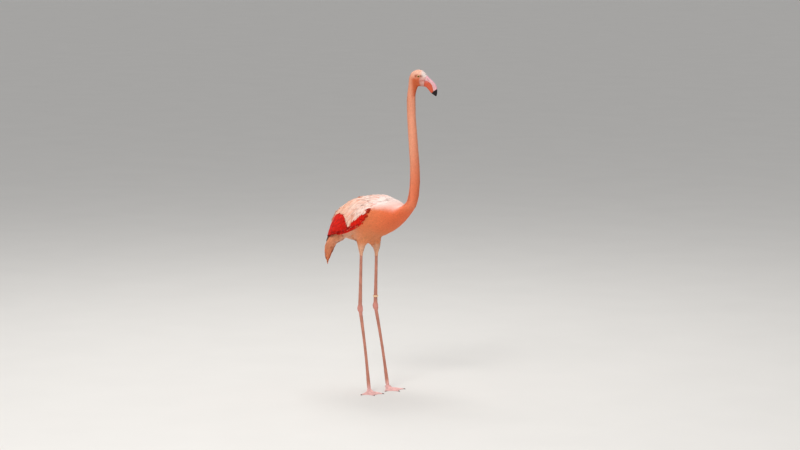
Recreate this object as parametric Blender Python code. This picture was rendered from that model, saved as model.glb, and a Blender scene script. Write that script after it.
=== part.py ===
"""Greater flamingo, adult male, standing: the solids of a life-size still model.

The bird faces +X, its left side is +Y and the floor is z = 0. All lengths are in metres.
The body, neck and head are one smooth loft between an upper outline (rump, back, hind neck,
crown) and a lower one (vent, breast, throat, chin), parted by thin cuts. Wings, tail and
thighs are lofts that are cut back to lie on the trunk. A soft part's solid reaches out to the
tips of its feathers.
"""
import math

import bmesh
import bpy
from mathutils import Matrix, Vector

MODEL_NAME = "greater_flamingo"
SIDES = ("left", "right")

# Fits
GAP = 0.0003            # between neighbouring solids
WELD = 0.00002          # points closer than this become one
SHARP_ANGLE = math.radians(40.0)

# Posture
BODY_Y = -0.029         # the body's plane
HEAD_TURN = math.radians(12.0)      # to the bird's left
TURN_FROM, TURN_TO = 1.19, 1.29     # heights between which the neck takes up the turn
NECK_TOP_X = 0.205      # the upright axis that the head turns about

# Facets round each kind of part
BODY_SIDES = 24
WING_SIDES = 16
BILL_SIDES = 10
THIGH_SIDES = 14
LEG_SIDES = 10
CLAW_SIDES = 6
RING_SIDES = 20
EYE_FACETS = (14, 8)
RINGS_PER_STATION = 2

# Body: (upper outline x, z), (lower outline x, z), half width
TRUNK = (
    ((-0.206, 0.698), (-0.188, 0.660), 0.018),
    ((-0.170, 0.738), (-0.142, 0.648), 0.044),
    ((-0.122, 0.784), (-0.092, 0.641), 0.067),
    ((-0.074, 0.819), (-0.040, 0.644), 0.083),
    ((-0.015, 0.840), (0.014, 0.656), 0.094),
    ((0.045, 0.846), (0.064, 0.677), 0.099),
    ((0.092, 0.838), (0.112, 0.707), 0.093),
    ((0.126, 0.822), (0.154, 0.742), 0.074),
    ((0.154, 0.812), (0.191, 0.776), 0.049),
    ((0.185, 0.831), (0.223, 0.807), 0.030),
)
NECK = (
    ((0.199, 0.868), (0.243, 0.858), 0.0238),
    ((0.206, 0.935), (0.249, 0.935), 0.0213),
    ((0.204, 1.005), (0.245, 1.005), 0.0200),
    ((0.199, 1.068), (0.238, 1.068), 0.0191),
    ((0.194, 1.130), (0.232, 1.130), 0.0186),
    ((0.189, 1.193), (0.226, 1.193), 0.0181),
    ((0.187, 1.256), (0.224, 1.256), 0.0177),
)
# Head: the same, with x measured forward from the neck's upright axis
HEAD = (
    ((-0.0142, 1.290), (0.0200, 1.284), 0.0174),
    ((-0.0090, 1.322), (0.0252, 1.303), 0.0182),
    ((-0.0062, 1.352), (0.0308, 1.3152), 0.0198),
    ((0.0045, 1.374), (0.0375, 1.3185), 0.0208),
    ((0.0215, 1.3848), (0.0440, 1.3187), 0.0210),
    ((0.0410, 1.3872), (0.0500, 1.318), 0.0206),
    ((0.0570, 1.3820), (0.0560, 1.3175), 0.0188),
    ((0.0685, 1.3720), (0.0605, 1.3172), 0.0160),
    ((0.0752, 1.3640), (0.0640, 1.3172), 0.0130),
)
# Where this loft is parted, counted in stations from the rump
NECK_LOW_CUT = 9.2
NECK_MID_CUT = 11.9
NECK_HIGH_CUT = 14.2
HEAD_CUT = 16.7
CUT_OVERRUN = 0.3       # how far the trunk's cutter runs on past its cut, in stations
# The rump behind the first station: how far it goes back, and the size of its rings
RUMP_REACH = (-0.010, 0.0, -0.008)
RUMP_SHARES = (0.35, 0.8)

# Bill: (culmen), (keel of the lower half), half width, share of the depth that is upper half
BILL = (
    ((0.0752, 1.3637), (0.0642, 1.3171), 0.0126, 0.46),
    ((0.0850, 1.3533), (0.0720, 1.3154), 0.0127, 0.28),
    ((0.0955, 1.3448), (0.0780, 1.3106), 0.0126, 0.21),
    ((0.1052, 1.3368), (0.0830, 1.3054), 0.0124, 0.22),
    ((0.1135, 1.3285), (0.0874, 1.3005), 0.0120, 0.30),
    ((0.1190, 1.3190), (0.0918, 1.2958), 0.0112, 0.40),
    ((0.1216, 1.3075), (0.0968, 1.2914), 0.0100, 0.49),
    ((0.1220, 1.2960), (0.1035, 1.2872), 0.0082, 0.53),
    ((0.1210, 1.2865), (0.1112, 1.2828), 0.0055, 0.50),
    ((0.1190, 1.2804), (0.1168, 1.2798), 0.0024, 0.50),
)
# Powers of the cosine and sine across each half: below 1 they square its section
BILL_SECTION = (0.80, 0.85)

# Eyes, in the head's own axes: forward, outward, up
EYE_AT = (0.0440, 0.0152, 1.3608)
EYE_RADIUS = 0.0068

# Wing: x, (outward, z) of its upper edge, (outward, z) of its lower edge, swell
WING = (
    (0.105, (0.056, 0.806), (0.072, 0.786), 0.005),
    (0.088, (0.042, 0.825), (0.088, 0.774), 0.013),
    (0.050, (0.030, 0.840), (0.102, 0.759), 0.023),
    (0.000, (0.020, 0.842), (0.102, 0.729), 0.027),
    (-0.060, (0.012, 0.834), (0.096, 0.704), 0.027),
    (-0.120, (0.006, 0.811), (0.080, 0.684), 0.023),
    (-0.168, (0.003, 0.783), (0.067, 0.673), 0.018),
    (-0.203, (0.002, 0.749), (0.050, 0.660), 0.013),
    (-0.224, (0.002, 0.712), (0.036, 0.649), 0.009),
    (-0.237, (0.004, 0.676), (0.026, 0.640), 0.006),
    (-0.250, (0.010, 0.644), (0.018, 0.630), 0.003),
)
WING_HOLLOW = 0.003     # swell of its inner face

TAIL = (
    ((-0.186, 0.698), (-0.152, 0.654), 0.034),
    ((-0.220, 0.668), (-0.185, 0.631), 0.037),
    ((-0.247, 0.634), (-0.223, 0.614), 0.035),
    ((-0.260, 0.600), (-0.244, 0.589), 0.029),
    ((-0.264, 0.567), (-0.255, 0.562), 0.019),
    ((-0.263, 0.540), (-0.258, 0.538), 0.010),
    ((-0.262, 0.523), (-0.260, 0.522), 0.003),
)

# Legs: where each one passes, at the foot of the thigh, the ankle and the sole
LEG_POINTS = {
    "right": ((-0.034, -0.071, 0.596), (-0.051, -0.059, 0.356), (-0.008, -0.050, 0.0)),
    "left": ((-0.021, 0.013, 0.588), (-0.049, 0.039, 0.356), (-0.003, 0.067, 0.0)),
}
FOOT_HEADING = {"right": math.radians(-36.0), "left": math.radians(-18.0)}
# Thigh plumage: height above its lower end, fore-and-aft and sideways half widths
THIGH = (
    (0.000, 0.0072, 0.0070),
    (0.012, 0.0098, 0.0094),
    (0.026, 0.0145, 0.0135),
    (0.042, 0.0220, 0.0190),
    (0.058, 0.0320, 0.0250),
    (0.076, 0.0400, 0.0300),
)
SHANK_RADII = (0.0058, 0.0060, 0.0066, 0.0078)      # from the thigh down to the ankle
ANKLE_RADII = (0.0080, 0.0104, 0.0112, 0.0100, 0.0072)
TARSUS_RADII = (0.0070, 0.0060, 0.0056, 0.0060, 0.0078)
ANKLE_HALF = 0.017      # half the height of the ankle
TARSUS_END = 0.0165     # height where the tarsus meets the foot
TARSUS_BOW = 0.004      # how far the tarsus curves forward between its ends
DEPTH_TO_WIDTH = 1.15   # a leg is deeper fore and aft than it is wide

# Foot
TOES = (                # angle from the foot's heading, length, half width of the toe's ridge
    (math.radians(-38.0), 0.078, 0.0046),
    (0.0, 0.090, 0.0050),
    (math.radians(38.0), 0.074, 0.0046),
)
WEB_REACH = 0.80        # how far the web's edge reaches, as a share of the toes' length
WEB_CURVE = 0.55        # power of the sine that the web's edge follows between two toes
WEB_MARGIN = math.radians(5.0)      # the foot's width beyond its outer toes
WEB_THICK = 0.0022
TOE_HIGH = 0.0075
TOE_TAPER = 0.45        # how much lower and narrower a toe is at its tip
HEEL_HIGH = 0.0155
HEEL_RADIUS = 0.0105
HEEL_SPREAD = 0.0142    # radius where the heel's height has fallen to a third
HEEL_ARC = 0.62         # share of the half circle round each side of the heel
FOOT_STEPS = (24, 7)    # across the web and along the toes
SPIKE = ((0.0, 1.0), (0.45, 0.85), (0.8, 0.5), (1.0, 0.16))     # share of length, of radius
SPIKE_ARCH = 0.25       # how far a spike's middle rises, as a share of its radius
CLAW_LENGTH = 0.0085
CLAW_RADIUS = 0.0024
CLAW_ROOT_HIGH = 0.0028
CLAW_DROP = 0.0017      # from root to tip
HIND_TOE_LENGTH = 0.017
HIND_TOE_RADIUS = 0.0036
HIND_TOE_HIGH = 0.0075
HIND_TOE_DROP = 0.0045

# Leg ring, on the left shank just above the ankle
RING_HEIGHT = 0.401
RING_TALL = 0.0075
RING_WALL = 0.0010
RING_BORE = 0.0098      # inner radius

COLOURS = {             # linear RGB, roughness
    "salmon": ((0.80, 0.28, 0.15), 0.85),
    "white_pink": ((0.93, 0.66, 0.56), 0.85),
    "red_coverts": ((0.60, 0.03, 0.01), 0.80),
    "tail_pink": ((0.60, 0.24, 0.13), 0.85),
    "leg_pink": ((0.55, 0.20, 0.15), 0.50),
    "bill_pink": ((0.62, 0.36, 0.38), 0.35),
    "bill_orange": ((0.45, 0.12, 0.06), 0.35),
    "claw_horn": ((0.10, 0.06, 0.05), 0.35),
    "eye_yellow": ((0.60, 0.45, 0.12), 0.08),
    "ring_cream": ((0.85, 0.62, 0.38), 0.40),
}


def clear_scene():
    """Start from an empty scene, with one collection for the bird and one for the cutters."""
    for thing in list(bpy.data.objects):
        bpy.data.objects.remove(thing, do_unlink=True)
    collections = []
    for name in (MODEL_NAME, MODEL_NAME + "_cutters"):
        collection = bpy.data.collections.new(name)
        bpy.context.scene.collection.children.link(collection)
        collections.append(collection)
    return collections


def material(name):
    """A Principled material, made once for each named colour."""
    made = bpy.data.materials.get(name)
    if made is None:
        colour, roughness = COLOURS[name]
        made = bpy.data.materials.new(name)
        made.use_nodes = True
        shader = made.node_tree.nodes["Principled BSDF"]
        shader.inputs["Base Color"].default_value = (*colour, 1.0)
        shader.inputs["Roughness"].default_value = roughness
    return made


def add_part(name, bm, colour):
    """Turn a bmesh into a part of the bird, shaded smooth, with its faces pointing out."""
    bmesh.ops.recalc_face_normals(bm, faces=bm.faces)
    mesh = bpy.data.meshes.new(name)
    bm.to_mesh(mesh)
    bm.free()
    mesh.materials.append(material(colour))
    mesh.shade_smooth()
    mesh.set_sharp_from_angle(angle=SHARP_ANGLE)
    part = bpy.data.objects.new(name, mesh)
    BIRD.objects.link(part)
    return part


def add_cutter(name, bm):
    """Turn a bmesh into a hidden shape that other parts are cut back from."""
    cutter = add_part(name, bm, "claw_horn")
    BIRD.objects.unlink(cutter)
    CUTTERS.objects.link(cutter)
    cutter.hide_render = True
    cutter.display_type = "WIRE"
    return cutter


def cut_back(part, *cutters):
    """Take the cutters' shapes out of a part for good, and keep the largest body that is left."""
    for cutter in cutters:
        cut = part.modifiers.new("cut", "BOOLEAN")
        cut.operation = "DIFFERENCE"
        cut.solver = "EXACT"
        cut.object = cutter
    graph = bpy.context.evaluated_depsgraph_get()
    mesh = bpy.data.meshes.new_from_object(part.evaluated_get(graph))
    part.modifiers.clear()
    bm = bmesh.new()
    bm.from_mesh(mesh)
    bmesh.ops.remove_doubles(bm, verts=bm.verts, dist=WELD)
    bmesh.ops.dissolve_degenerate(bm, edges=bm.edges, dist=WELD)
    keep_largest(bm)
    bm.to_mesh(mesh)
    bm.free()
    part.data = mesh


def keep_largest(bm):
    """Delete every loose scrap of a mesh but its largest body."""
    left = set(bm.verts)
    bodies = []
    while left:
        body = {left.pop()}
        to_visit = list(body)
        while to_visit:
            vert = to_visit.pop()
            for edge in vert.link_edges:
                other = edge.other_vert(vert)
                if other in left:
                    left.discard(other)
                    body.add(other)
                    to_visit.append(other)
        bodies.append(body)
    bodies.sort(key=len)
    for body in bodies[:-1]:
        bmesh.ops.delete(bm, geom=list(body), context="VERTS")


def blend(values, at):
    """Catmull-Rom curve through a list of equal-length tuples, at a place counted in entries."""
    last = len(values) - 1
    first = min(max(int(math.floor(at)), 0), last - 1)
    t = at - first
    before, start, end, after = (values[min(max(first + step, 0), last)] for step in (-1, 0, 1, 2))
    result = []
    for a, b, c, d in zip(before, start, end, after):
        result.append(0.5 * (2 * b + (c - a) * t + (2 * a - 5 * b + 4 * c - d) * t * t
                             + (3 * b - a - 3 * c + d) * t ** 3))
    return result


def smooth_step(value, low, high):
    share = min(max((value - low) / (high - low), 0.0), 1.0)
    return share * share * (3.0 - 2.0 * share)


def turn_head(point):
    """Turn a point about the neck's upright axis, by the head's turn at that height."""
    angle = HEAD_TURN * smooth_step(point.z, TURN_FROM, TURN_TO)
    x = point.x - NECK_TOP_X
    y = point.y - BODY_Y
    return Vector((NECK_TOP_X + x * math.cos(angle) - y * math.sin(angle),
                   BODY_Y + x * math.sin(angle) + y * math.cos(angle), point.z))


def oval(upper, lower, half_width, sides, grow=0.0):
    """Ring of points between two outline points of the body's plane."""
    top = Vector((upper[0], BODY_Y, upper[1]))
    bottom = Vector((lower[0], BODY_Y, lower[1]))
    middle = (top + bottom) / 2
    rise = (top - bottom) / 2
    rise += rise.normalized() * grow
    side = Vector((0, half_width + grow, 0))
    return [middle + rise * math.cos(a) + side * math.sin(a) for a in angles(sides)]


def angles(count):
    return [2 * math.pi * k / count for k in range(count)]


def loft(rings):
    """Closed bmesh through rings of equal count, capped flat at both ends."""
    bm = bmesh.new()
    rows = [[bm.verts.new(point) for point in ring] for ring in rings]
    for row, following in zip(rows, rows[1:]):
        count = len(row)
        for k in range(count):
            bm.faces.new((row[k], row[(k + 1) % count], following[(k + 1) % count], following[k]))
    # The same diagonals in every loft, so that a cutter follows what it makes room for
    bmesh.ops.triangulate(bm, faces=bm.faces, quad_method="FIXED")
    bm.faces.new(rows[0])
    bm.faces.new(rows[-1])
    return bm


def outline_rows(stations, offset=0.0):
    """Stations as flat rows of numbers, moved forward by an offset."""
    return [(top[0] + offset, top[1], low[0] + offset, low[1], *rest)
            for top, low, *rest in stations]


AXIS = outline_rows(TRUNK) + outline_rows(NECK) + outline_rows(HEAD, NECK_TOP_X)


def body_rings(start, end, grow=0.0):
    """Rings of the rump-to-bill loft between two places counted in stations.

    The rings between the ends lie at the same places for every length, so that a cutter has
    the facets of what it makes room for.
    """
    inside = range(math.floor(start * RINGS_PER_STATION) + 1, math.ceil(end * RINGS_PER_STATION))
    rings = []
    for place in [start] + [k / RINGS_PER_STATION for k in inside] + [end]:
        row = blend(AXIS, place)
        rings.append([turn_head(p) for p in oval(row[0:2], row[2:4], row[4], BODY_SIDES, grow)])
    return rings


def centre_of(ring):
    return sum(ring, Vector()) / len(ring)


def draw_in(ring, neighbour, distance):
    """The ring moved towards its neighbour."""
    along = (centre_of(neighbour) - centre_of(ring)).normalized()
    return [point + along * distance for point in ring]


def make_axis_length(name, start, end, colour):
    """One length of the neck or the head. It stops half a gap short of each cut."""
    rings = body_rings(start, end)
    rings[0] = draw_in(rings[0], rings[1], GAP / 2)
    rings[-1] = draw_in(rings[-1], rings[-2], GAP / 2)
    return add_part(name, loft(rings), colour)


def rump_rings(grow=0.0):
    """Two small rings that round off the rump behind the first ring of the trunk."""
    first = body_rings(0, 0.5, grow)[0]
    centre = centre_of(first)
    reach = Vector(RUMP_REACH)
    return [[centre + (p - centre) * share + reach * (1.0 - share * share) for p in first]
            for share in RUMP_SHARES]


def make_trunk():
    rings = rump_rings() + body_rings(0, NECK_LOW_CUT)
    rings[-1] = draw_in(rings[-1], rings[-2], GAP / 2)
    add_part("trunk", loft(rings), "salmon")


def make_neck_and_head():
    make_axis_length("neck_lower", NECK_LOW_CUT, NECK_MID_CUT, "salmon")
    make_axis_length("neck_middle", NECK_MID_CUT, NECK_HIGH_CUT, "salmon")
    make_axis_length("neck_upper", NECK_HIGH_CUT, HEAD_CUT, "salmon")
    head = make_axis_length("head", HEAD_CUT, len(AXIS) - 1, "white_pink")
    sockets = [add_cutter("cut_eye_" + side, eye_ball(side, GAP)) for side in SIDES]
    cut_back(head, *sockets)


def side_sign(side):
    return 1.0 if side == "left" else -1.0


def eye_ball(side, grow=0.0):
    forward, outward, up = EYE_AT
    place = turn_head(Vector((NECK_TOP_X + forward, BODY_Y + side_sign(side) * outward, up)))
    bm = bmesh.new()
    around, down = EYE_FACETS
    bmesh.ops.create_uvsphere(bm, u_segments=around, v_segments=down, radius=EYE_RADIUS + grow)
    # The poles of the sphere lie fore and aft, so the pupil's place is smooth
    bmesh.ops.rotate(bm, verts=bm.verts, matrix=Matrix.Rotation(math.pi / 2, 3, "Y"))
    bmesh.ops.translate(bm, verts=bm.verts, vec=place)
    return bm


def make_eyes():
    for side in SIDES:
        add_part("eye_" + side, eye_ball(side), "eye_yellow")


def bill_half(row, half):
    """D-shaped ring: flat along the mouth, round towards the culmen or the keel."""
    culmen = Vector((row[0], 0, row[1]))
    keel = Vector((row[2], 0, row[3]))
    width, share = row[4], row[5]
    mouth = culmen.lerp(keel, share)
    far = culmen if half == "upper" else keel
    lift = (far - mouth).normalized()
    mouth = mouth + lift * GAP / 2
    reach = far - mouth
    out_power, rise_power = BILL_SECTION
    ring = []
    for k in range(BILL_SIDES):
        a = math.pi * k / (BILL_SIDES - 1)
        out = math.copysign(abs(math.cos(a)) ** out_power, math.cos(a))
        point = mouth + reach * math.sin(a) ** rise_power + Vector((0, width * out, 0))
        ring.append(turn_head(Vector((NECK_TOP_X + point.x, BODY_Y + point.y, point.z))))
    return ring


def make_bill():
    rows = outline_rows(BILL)
    steps = (len(rows) - 1) * 2
    for half, colour in (("upper", "bill_pink"), ("lower", "bill_orange")):
        rings = [bill_half(blend(rows, 0.5 * k), half) for k in range(steps + 1)]
        rings[0] = draw_in(rings[0], rings[1], GAP)
        add_part("bill_" + half, loft(rings), colour)


def wing_rings(side, grow=0.0):
    """Lens-shaped rings across the folded wing, from its bend to the tip of the flight quills."""
    rows = [(x, *top, *low, swell) for x, top, low, swell in WING]
    steps = (len(rows) - 1) * 2
    rings = []
    for k in range(steps + 1):
        x, top_y, top_z, low_y, low_z, swell = blend(rows, 0.5 * k)
        top = Vector((0, top_y, top_z))
        low = Vector((0, low_y, low_z))
        chord = (top - low) / 2
        outward = Vector((0, chord.z, -chord.y)).normalized()
        chord += chord.normalized() * grow
        ring = []
        for a in angles(WING_SIDES):
            bulge = swell if math.sin(a) > 0 else WING_HOLLOW
            point = (top + low) / 2 + chord * math.cos(a) + outward * (bulge + grow) * math.sin(a)
            across = max(point.y, GAP - grow)
            ring.append(Vector((x, BODY_Y + side_sign(side) * across, point.z)))
        rings.append(ring)
    return rings


def make_wings():
    for side in SIDES:
        wing = add_part("wing_" + side, loft(wing_rings(side)), "white_pink")
        cut_back(wing, TRUNK_ROOM)


def make_tail():
    rows = outline_rows(TAIL)
    steps = (len(rows) - 1) * 2
    rings = []
    for k in range(steps + 1):
        row = blend(rows, 0.5 * k)
        rings.append(oval(row[0:2], row[2:4], row[4], WING_SIDES))
    tail = add_part("tail", loft(rings), "tail_pink")
    cut_back(tail, TRUNK_ROOM, *WING_ROOMS)


def ring_across(centre, radius_x, radius_y, sides):
    """Level oval ring about a point."""
    return [centre + Vector((radius_x * math.cos(a), radius_y * math.sin(a), 0))
            for a in angles(sides)]


def leg_at(side, height):
    """Centre of the leg at a height: straight above the ankle, a little bowed below it."""
    thigh_end, ankle, sole = (Vector(p) for p in LEG_POINTS[side])
    if height > ankle.z:
        return ankle.lerp(thigh_end, (height - ankle.z) / (thigh_end.z - ankle.z))
    share = (height - sole.z) / (ankle.z - sole.z)
    return sole.lerp(ankle, share) + Vector((TARSUS_BOW * math.sin(math.pi * share), 0, 0))


def leg_length(name, side, top, bottom, radii, colour):
    """One length of a leg, through evenly spaced radii from its top to its bottom."""
    rows = [(r,) for r in radii]
    steps = (len(rows) - 1) * 2
    rings = []
    for k in range(steps + 1):
        radius = blend(rows, 0.5 * k)[0]
        centre = leg_at(side, top + (bottom - top) * k / steps)
        rings.append(ring_across(centre, radius * DEPTH_TO_WIDTH, radius, LEG_SIDES))
    add_part(name + "_" + side, loft(rings), colour)


def make_legs():
    for side in SIDES:
        thigh_end, ankle, _ = (Vector(p) for p in LEG_POINTS[side])
        thigh_rings = []
        steps = (len(THIGH) - 1) * 2
        for k in range(steps + 1):
            rise, deep, wide = blend(THIGH, 0.5 * k)
            centre = leg_at(side, thigh_end.z + rise)
            thigh_rings.append(ring_across(centre, deep, wide, THIGH_SIDES))
        thigh = add_part("thigh_" + side, loft(thigh_rings), "white_pink")
        cut_back(thigh, TRUNK_ROOM)
        ankle_top = ankle.z + ANKLE_HALF
        ankle_low = ankle.z - ANKLE_HALF
        leg_length("shank", side, thigh_end.z - GAP, ankle_top + GAP, SHANK_RADII, "leg_pink")
        leg_length("ankle", side, ankle_top, ankle_low, ANKLE_RADII, "leg_pink")
        leg_length("tarsus", side, ankle_low - GAP, TARSUS_END, TARSUS_RADII, "leg_pink")


def foot_reach(angle):
    """How far the foot's edge lies from its heel in a direction: toe tips and web between."""
    first, last = TOES[0], TOES[-1]
    if angle <= first[0] or angle >= last[0]:
        toe = first if angle <= first[0] else last
        return toe[1]
    for toe, following in zip(TOES, TOES[1:]):
        if toe[0] <= angle <= following[0]:
            share = (angle - toe[0]) / (following[0] - toe[0])
            reach = toe[1] + (following[1] - toe[1]) * share
            dip = (1.0 - WEB_REACH) * max(math.sin(math.pi * share), 0.0) ** WEB_CURVE
            return reach * (1.0 - dip)


def foot_height(along, across):
    """Height of the foot's upper side at a place in its own axes."""
    distance = math.hypot(along, across)
    angle = math.atan2(across, along)
    height = WEB_THICK
    for toe_angle, length, half_width in TOES:
        off = distance * math.sin(angle - toe_angle)
        taper = 1.0 - TOE_TAPER * min(distance / length, 1.0)
        ridge = (TOE_HIGH * taper - WEB_THICK) * math.exp(-(off / (half_width * taper)) ** 2)
        if math.cos(angle - toe_angle) > 0:
            height = max(height, WEB_THICK + ridge)
    heel = (HEEL_HIGH - WEB_THICK) * math.exp(-(distance / HEEL_SPREAD) ** 4)
    return max(height, WEB_THICK + heel)


def make_foot(side):
    """Webbed foot: a grid bent round the heel, raised over the toes, flat beneath."""
    across_steps, along_steps = FOOT_STEPS
    spread = TOES[-1][0] + WEB_MARGIN
    bm = bmesh.new()
    bmesh.ops.create_grid(bm, x_segments=across_steps, y_segments=along_steps, size=1.0)
    heading = FOOT_HEADING[side]
    heel = Vector(LEG_POINTS[side][2])
    forward = Vector((math.cos(heading), math.sin(heading), 0))
    left = Vector((-math.sin(heading), math.cos(heading), 0))
    # The grid's near edge is a half circle round the heel, its far edge the toes and web
    for vert in bm.verts:
        turn = vert.co.x
        share = (vert.co.y + 1.0) / 2.0
        toe_angle = turn * spread
        far = Vector((math.cos(toe_angle), math.sin(toe_angle))) * foot_reach(toe_angle)
        back_angle = math.pi * (1.0 - HEEL_ARC * turn)
        near = Vector((math.cos(back_angle), math.sin(back_angle))) * HEEL_RADIUS
        place = near.lerp(far, share)
        vert.co = heel + forward * place.x + left * place.y
        vert.co.z = foot_height(place.x, place.y)
    top_faces = list(bm.faces)
    copied = bmesh.ops.extrude_face_region(bm, geom=top_faces, use_keep_orig=True)
    for item in copied["geom"]:
        if isinstance(item, bmesh.types.BMVert):
            item.co.z = 0.0
    bottom = [item for item in copied["geom"] if isinstance(item, bmesh.types.BMFace)]
    bmesh.ops.dissolve_faces(bm, faces=bottom)
    add_part("foot_" + side, bm, "leg_pink")


def spike(root, tip, radius):
    """Short curved spike from a flat root to a blunt tip, such as a claw."""
    along = tip - root
    up = Vector((0, 0, 1))
    side = up.cross(along).normalized()
    rings = []
    for share, thick in SPIKE:
        centre = root + along * share + up * radius * SPIKE_ARCH * math.sin(math.pi * share)
        rings.append([centre + (side * math.cos(a) + up * math.sin(a)) * radius * thick
                      for a in angles(CLAW_SIDES)])
    return loft(rings)


def make_claws_and_hind_toe(side):
    heading = FOOT_HEADING[side]
    heel = Vector(LEG_POINTS[side][2])
    for number, (toe_angle, length, _) in enumerate(TOES, start=1):
        angle = heading + toe_angle
        ahead = Vector((math.cos(angle), math.sin(angle), 0))
        root = heel + ahead * (length + GAP) + Vector((0, 0, CLAW_ROOT_HIGH))
        tip = root + ahead * CLAW_LENGTH - Vector((0, 0, CLAW_DROP))
        add_part(f"claw_{side}_{number}", spike(root, tip, CLAW_RADIUS), "claw_horn")
    behind = Vector((-math.cos(heading), -math.sin(heading), 0))
    root = heel + behind * (HEEL_RADIUS + GAP) + Vector((0, 0, HIND_TOE_HIGH))
    tip = root + behind * HIND_TOE_LENGTH - Vector((0, 0, HIND_TOE_DROP))
    add_part("hind_toe_" + side, spike(root, tip, HIND_TOE_RADIUS), "leg_pink")


def make_leg_ring():
    """Plain band round the left shank, a turned profile with a clear bore."""
    outside = RING_BORE + RING_WALL
    profile = [
        (outside, RING_TALL / 2),
        (outside, -RING_TALL / 2),
        (RING_BORE, -RING_TALL / 2),
        (RING_BORE, RING_TALL / 2),
    ]
    bm = bmesh.new()
    verts = [bm.verts.new((radius, 0, z)) for radius, z in profile]
    edges = [bm.edges.new((verts[k - 1], verts[k])) for k in range(len(verts))]
    bmesh.ops.spin(bm, geom=verts + edges, axis=(0, 0, 1), cent=(0, 0, 0), steps=RING_SIDES,
                   angle=2 * math.pi, use_merge=True)
    bmesh.ops.remove_doubles(bm, verts=bm.verts, dist=WELD)
    bmesh.ops.translate(bm, verts=bm.verts, vec=leg_at("left", RING_HEIGHT))
    add_part("leg_ring", bm, "ring_cream")


def centre_over_footprint():
    """Move every part so that the origin is at the middle of the bird's box, on the floor."""
    corners = [part.matrix_world @ v.co for part in BIRD.objects for v in part.data.vertices]
    low = Vector([min(c[k] for c in corners) for k in range(3)])
    high = Vector([max(c[k] for c in corners) for k in range(3)])
    shift = Vector((-(low.x + high.x) / 2, -(low.y + high.y) / 2, -low.z))
    for thing in list(BIRD.objects) + list(CUTTERS.objects):
        thing.data.transform(Matrix.Translation(shift))
    print("moved by", tuple(round(s, 5) for s in shift), "size", tuple(high - low))


BIRD, CUTTERS = clear_scene()
TRUNK_ROOM = add_cutter(
    "cut_trunk", loft(rump_rings(GAP) + body_rings(0, NECK_LOW_CUT + CUT_OVERRUN, GAP)))
WING_ROOMS = [add_cutter("cut_wing_" + side, loft(wing_rings(side, GAP))) for side in SIDES]
make_trunk()
make_neck_and_head()
make_bill()
make_eyes()
make_wings()
make_tail()
make_legs()
for foot_side in SIDES:
    make_foot(foot_side)
    make_claws_and_hind_toe(foot_side)
make_leg_ring()
centre_over_footprint()
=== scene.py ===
"""Looks of a standing greater flamingo: skin, plumage, bill, eyes, claws, leg band and stage.

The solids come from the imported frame. One skin is laid just inside the flesh, and vanes are
rooted on it along the lie of the plumage, so that their tips reach out to the solids' outline.
"""
import math

import bpy
import numpy as np
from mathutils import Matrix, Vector
from mathutils.bvhtree import BVHTree
from mathutils.kdtree import KDTree


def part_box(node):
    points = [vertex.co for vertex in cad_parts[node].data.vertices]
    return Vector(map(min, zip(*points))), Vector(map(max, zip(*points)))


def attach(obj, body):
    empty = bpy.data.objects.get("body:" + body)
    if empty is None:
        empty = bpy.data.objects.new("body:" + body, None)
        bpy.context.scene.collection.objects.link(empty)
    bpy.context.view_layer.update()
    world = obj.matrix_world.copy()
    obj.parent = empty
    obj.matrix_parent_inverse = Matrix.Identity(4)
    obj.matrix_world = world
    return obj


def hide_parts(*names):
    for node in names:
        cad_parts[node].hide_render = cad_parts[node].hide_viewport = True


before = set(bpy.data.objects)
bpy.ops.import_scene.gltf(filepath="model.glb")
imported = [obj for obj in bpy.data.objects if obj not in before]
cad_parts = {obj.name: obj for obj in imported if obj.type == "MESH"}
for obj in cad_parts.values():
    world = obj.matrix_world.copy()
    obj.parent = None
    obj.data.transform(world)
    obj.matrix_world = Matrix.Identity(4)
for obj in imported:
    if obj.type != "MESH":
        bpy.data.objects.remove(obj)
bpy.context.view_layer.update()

bl_info = {
    "name": "Standing Flamingo",
    "version": (1, 0, 0),
    "blender": (4, 5, 0),
    "location": "3D Viewport > Sidebar > Flamingo",
    "description": "Skin, plumage, bill, eyes, claws, leg band and stage of a life-size flamingo",
    "category": "Object",
}

SIDES = ("left", "right")
HARD_PARTS = ("eye_", "bill_", "claw_", "leg_ring")
FLESH = sorted(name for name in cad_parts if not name.startswith(HARD_PARTS))
TWO_PI = 2.0 * math.pi
MERGE = 0.00005         # vertices of a solid that are nearer than this are one
TINY = 1e-9             # keeps a division by a length from failing
TINY_AREA = 1e-18       # and by an area


# ---------------------------------------------------------------- sizes and colours

def linear(code):
    """Linear RGB of an sRGB hex colour."""
    shares = [int(code[k:k + 2], 16) / 255.0 for k in (0, 2, 4)]
    return tuple(s / 12.92 if s <= 0.04045 else ((s + 0.055) / 1.055) ** 2.4 for s in shares)


def size_prop(name, description, default):
    """A length in metres."""
    return bpy.props.FloatProperty(name=name, description=description, default=default,
                                   min=0.0, unit="LENGTH", precision=5)


def colour_prop(name, description, code):
    """A colour, from its sRGB hex value."""
    return bpy.props.FloatVectorProperty(name=name, description=description, subtype="COLOR",
                                         size=3, min=0.0, max=1.0, default=linear(code))


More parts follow.
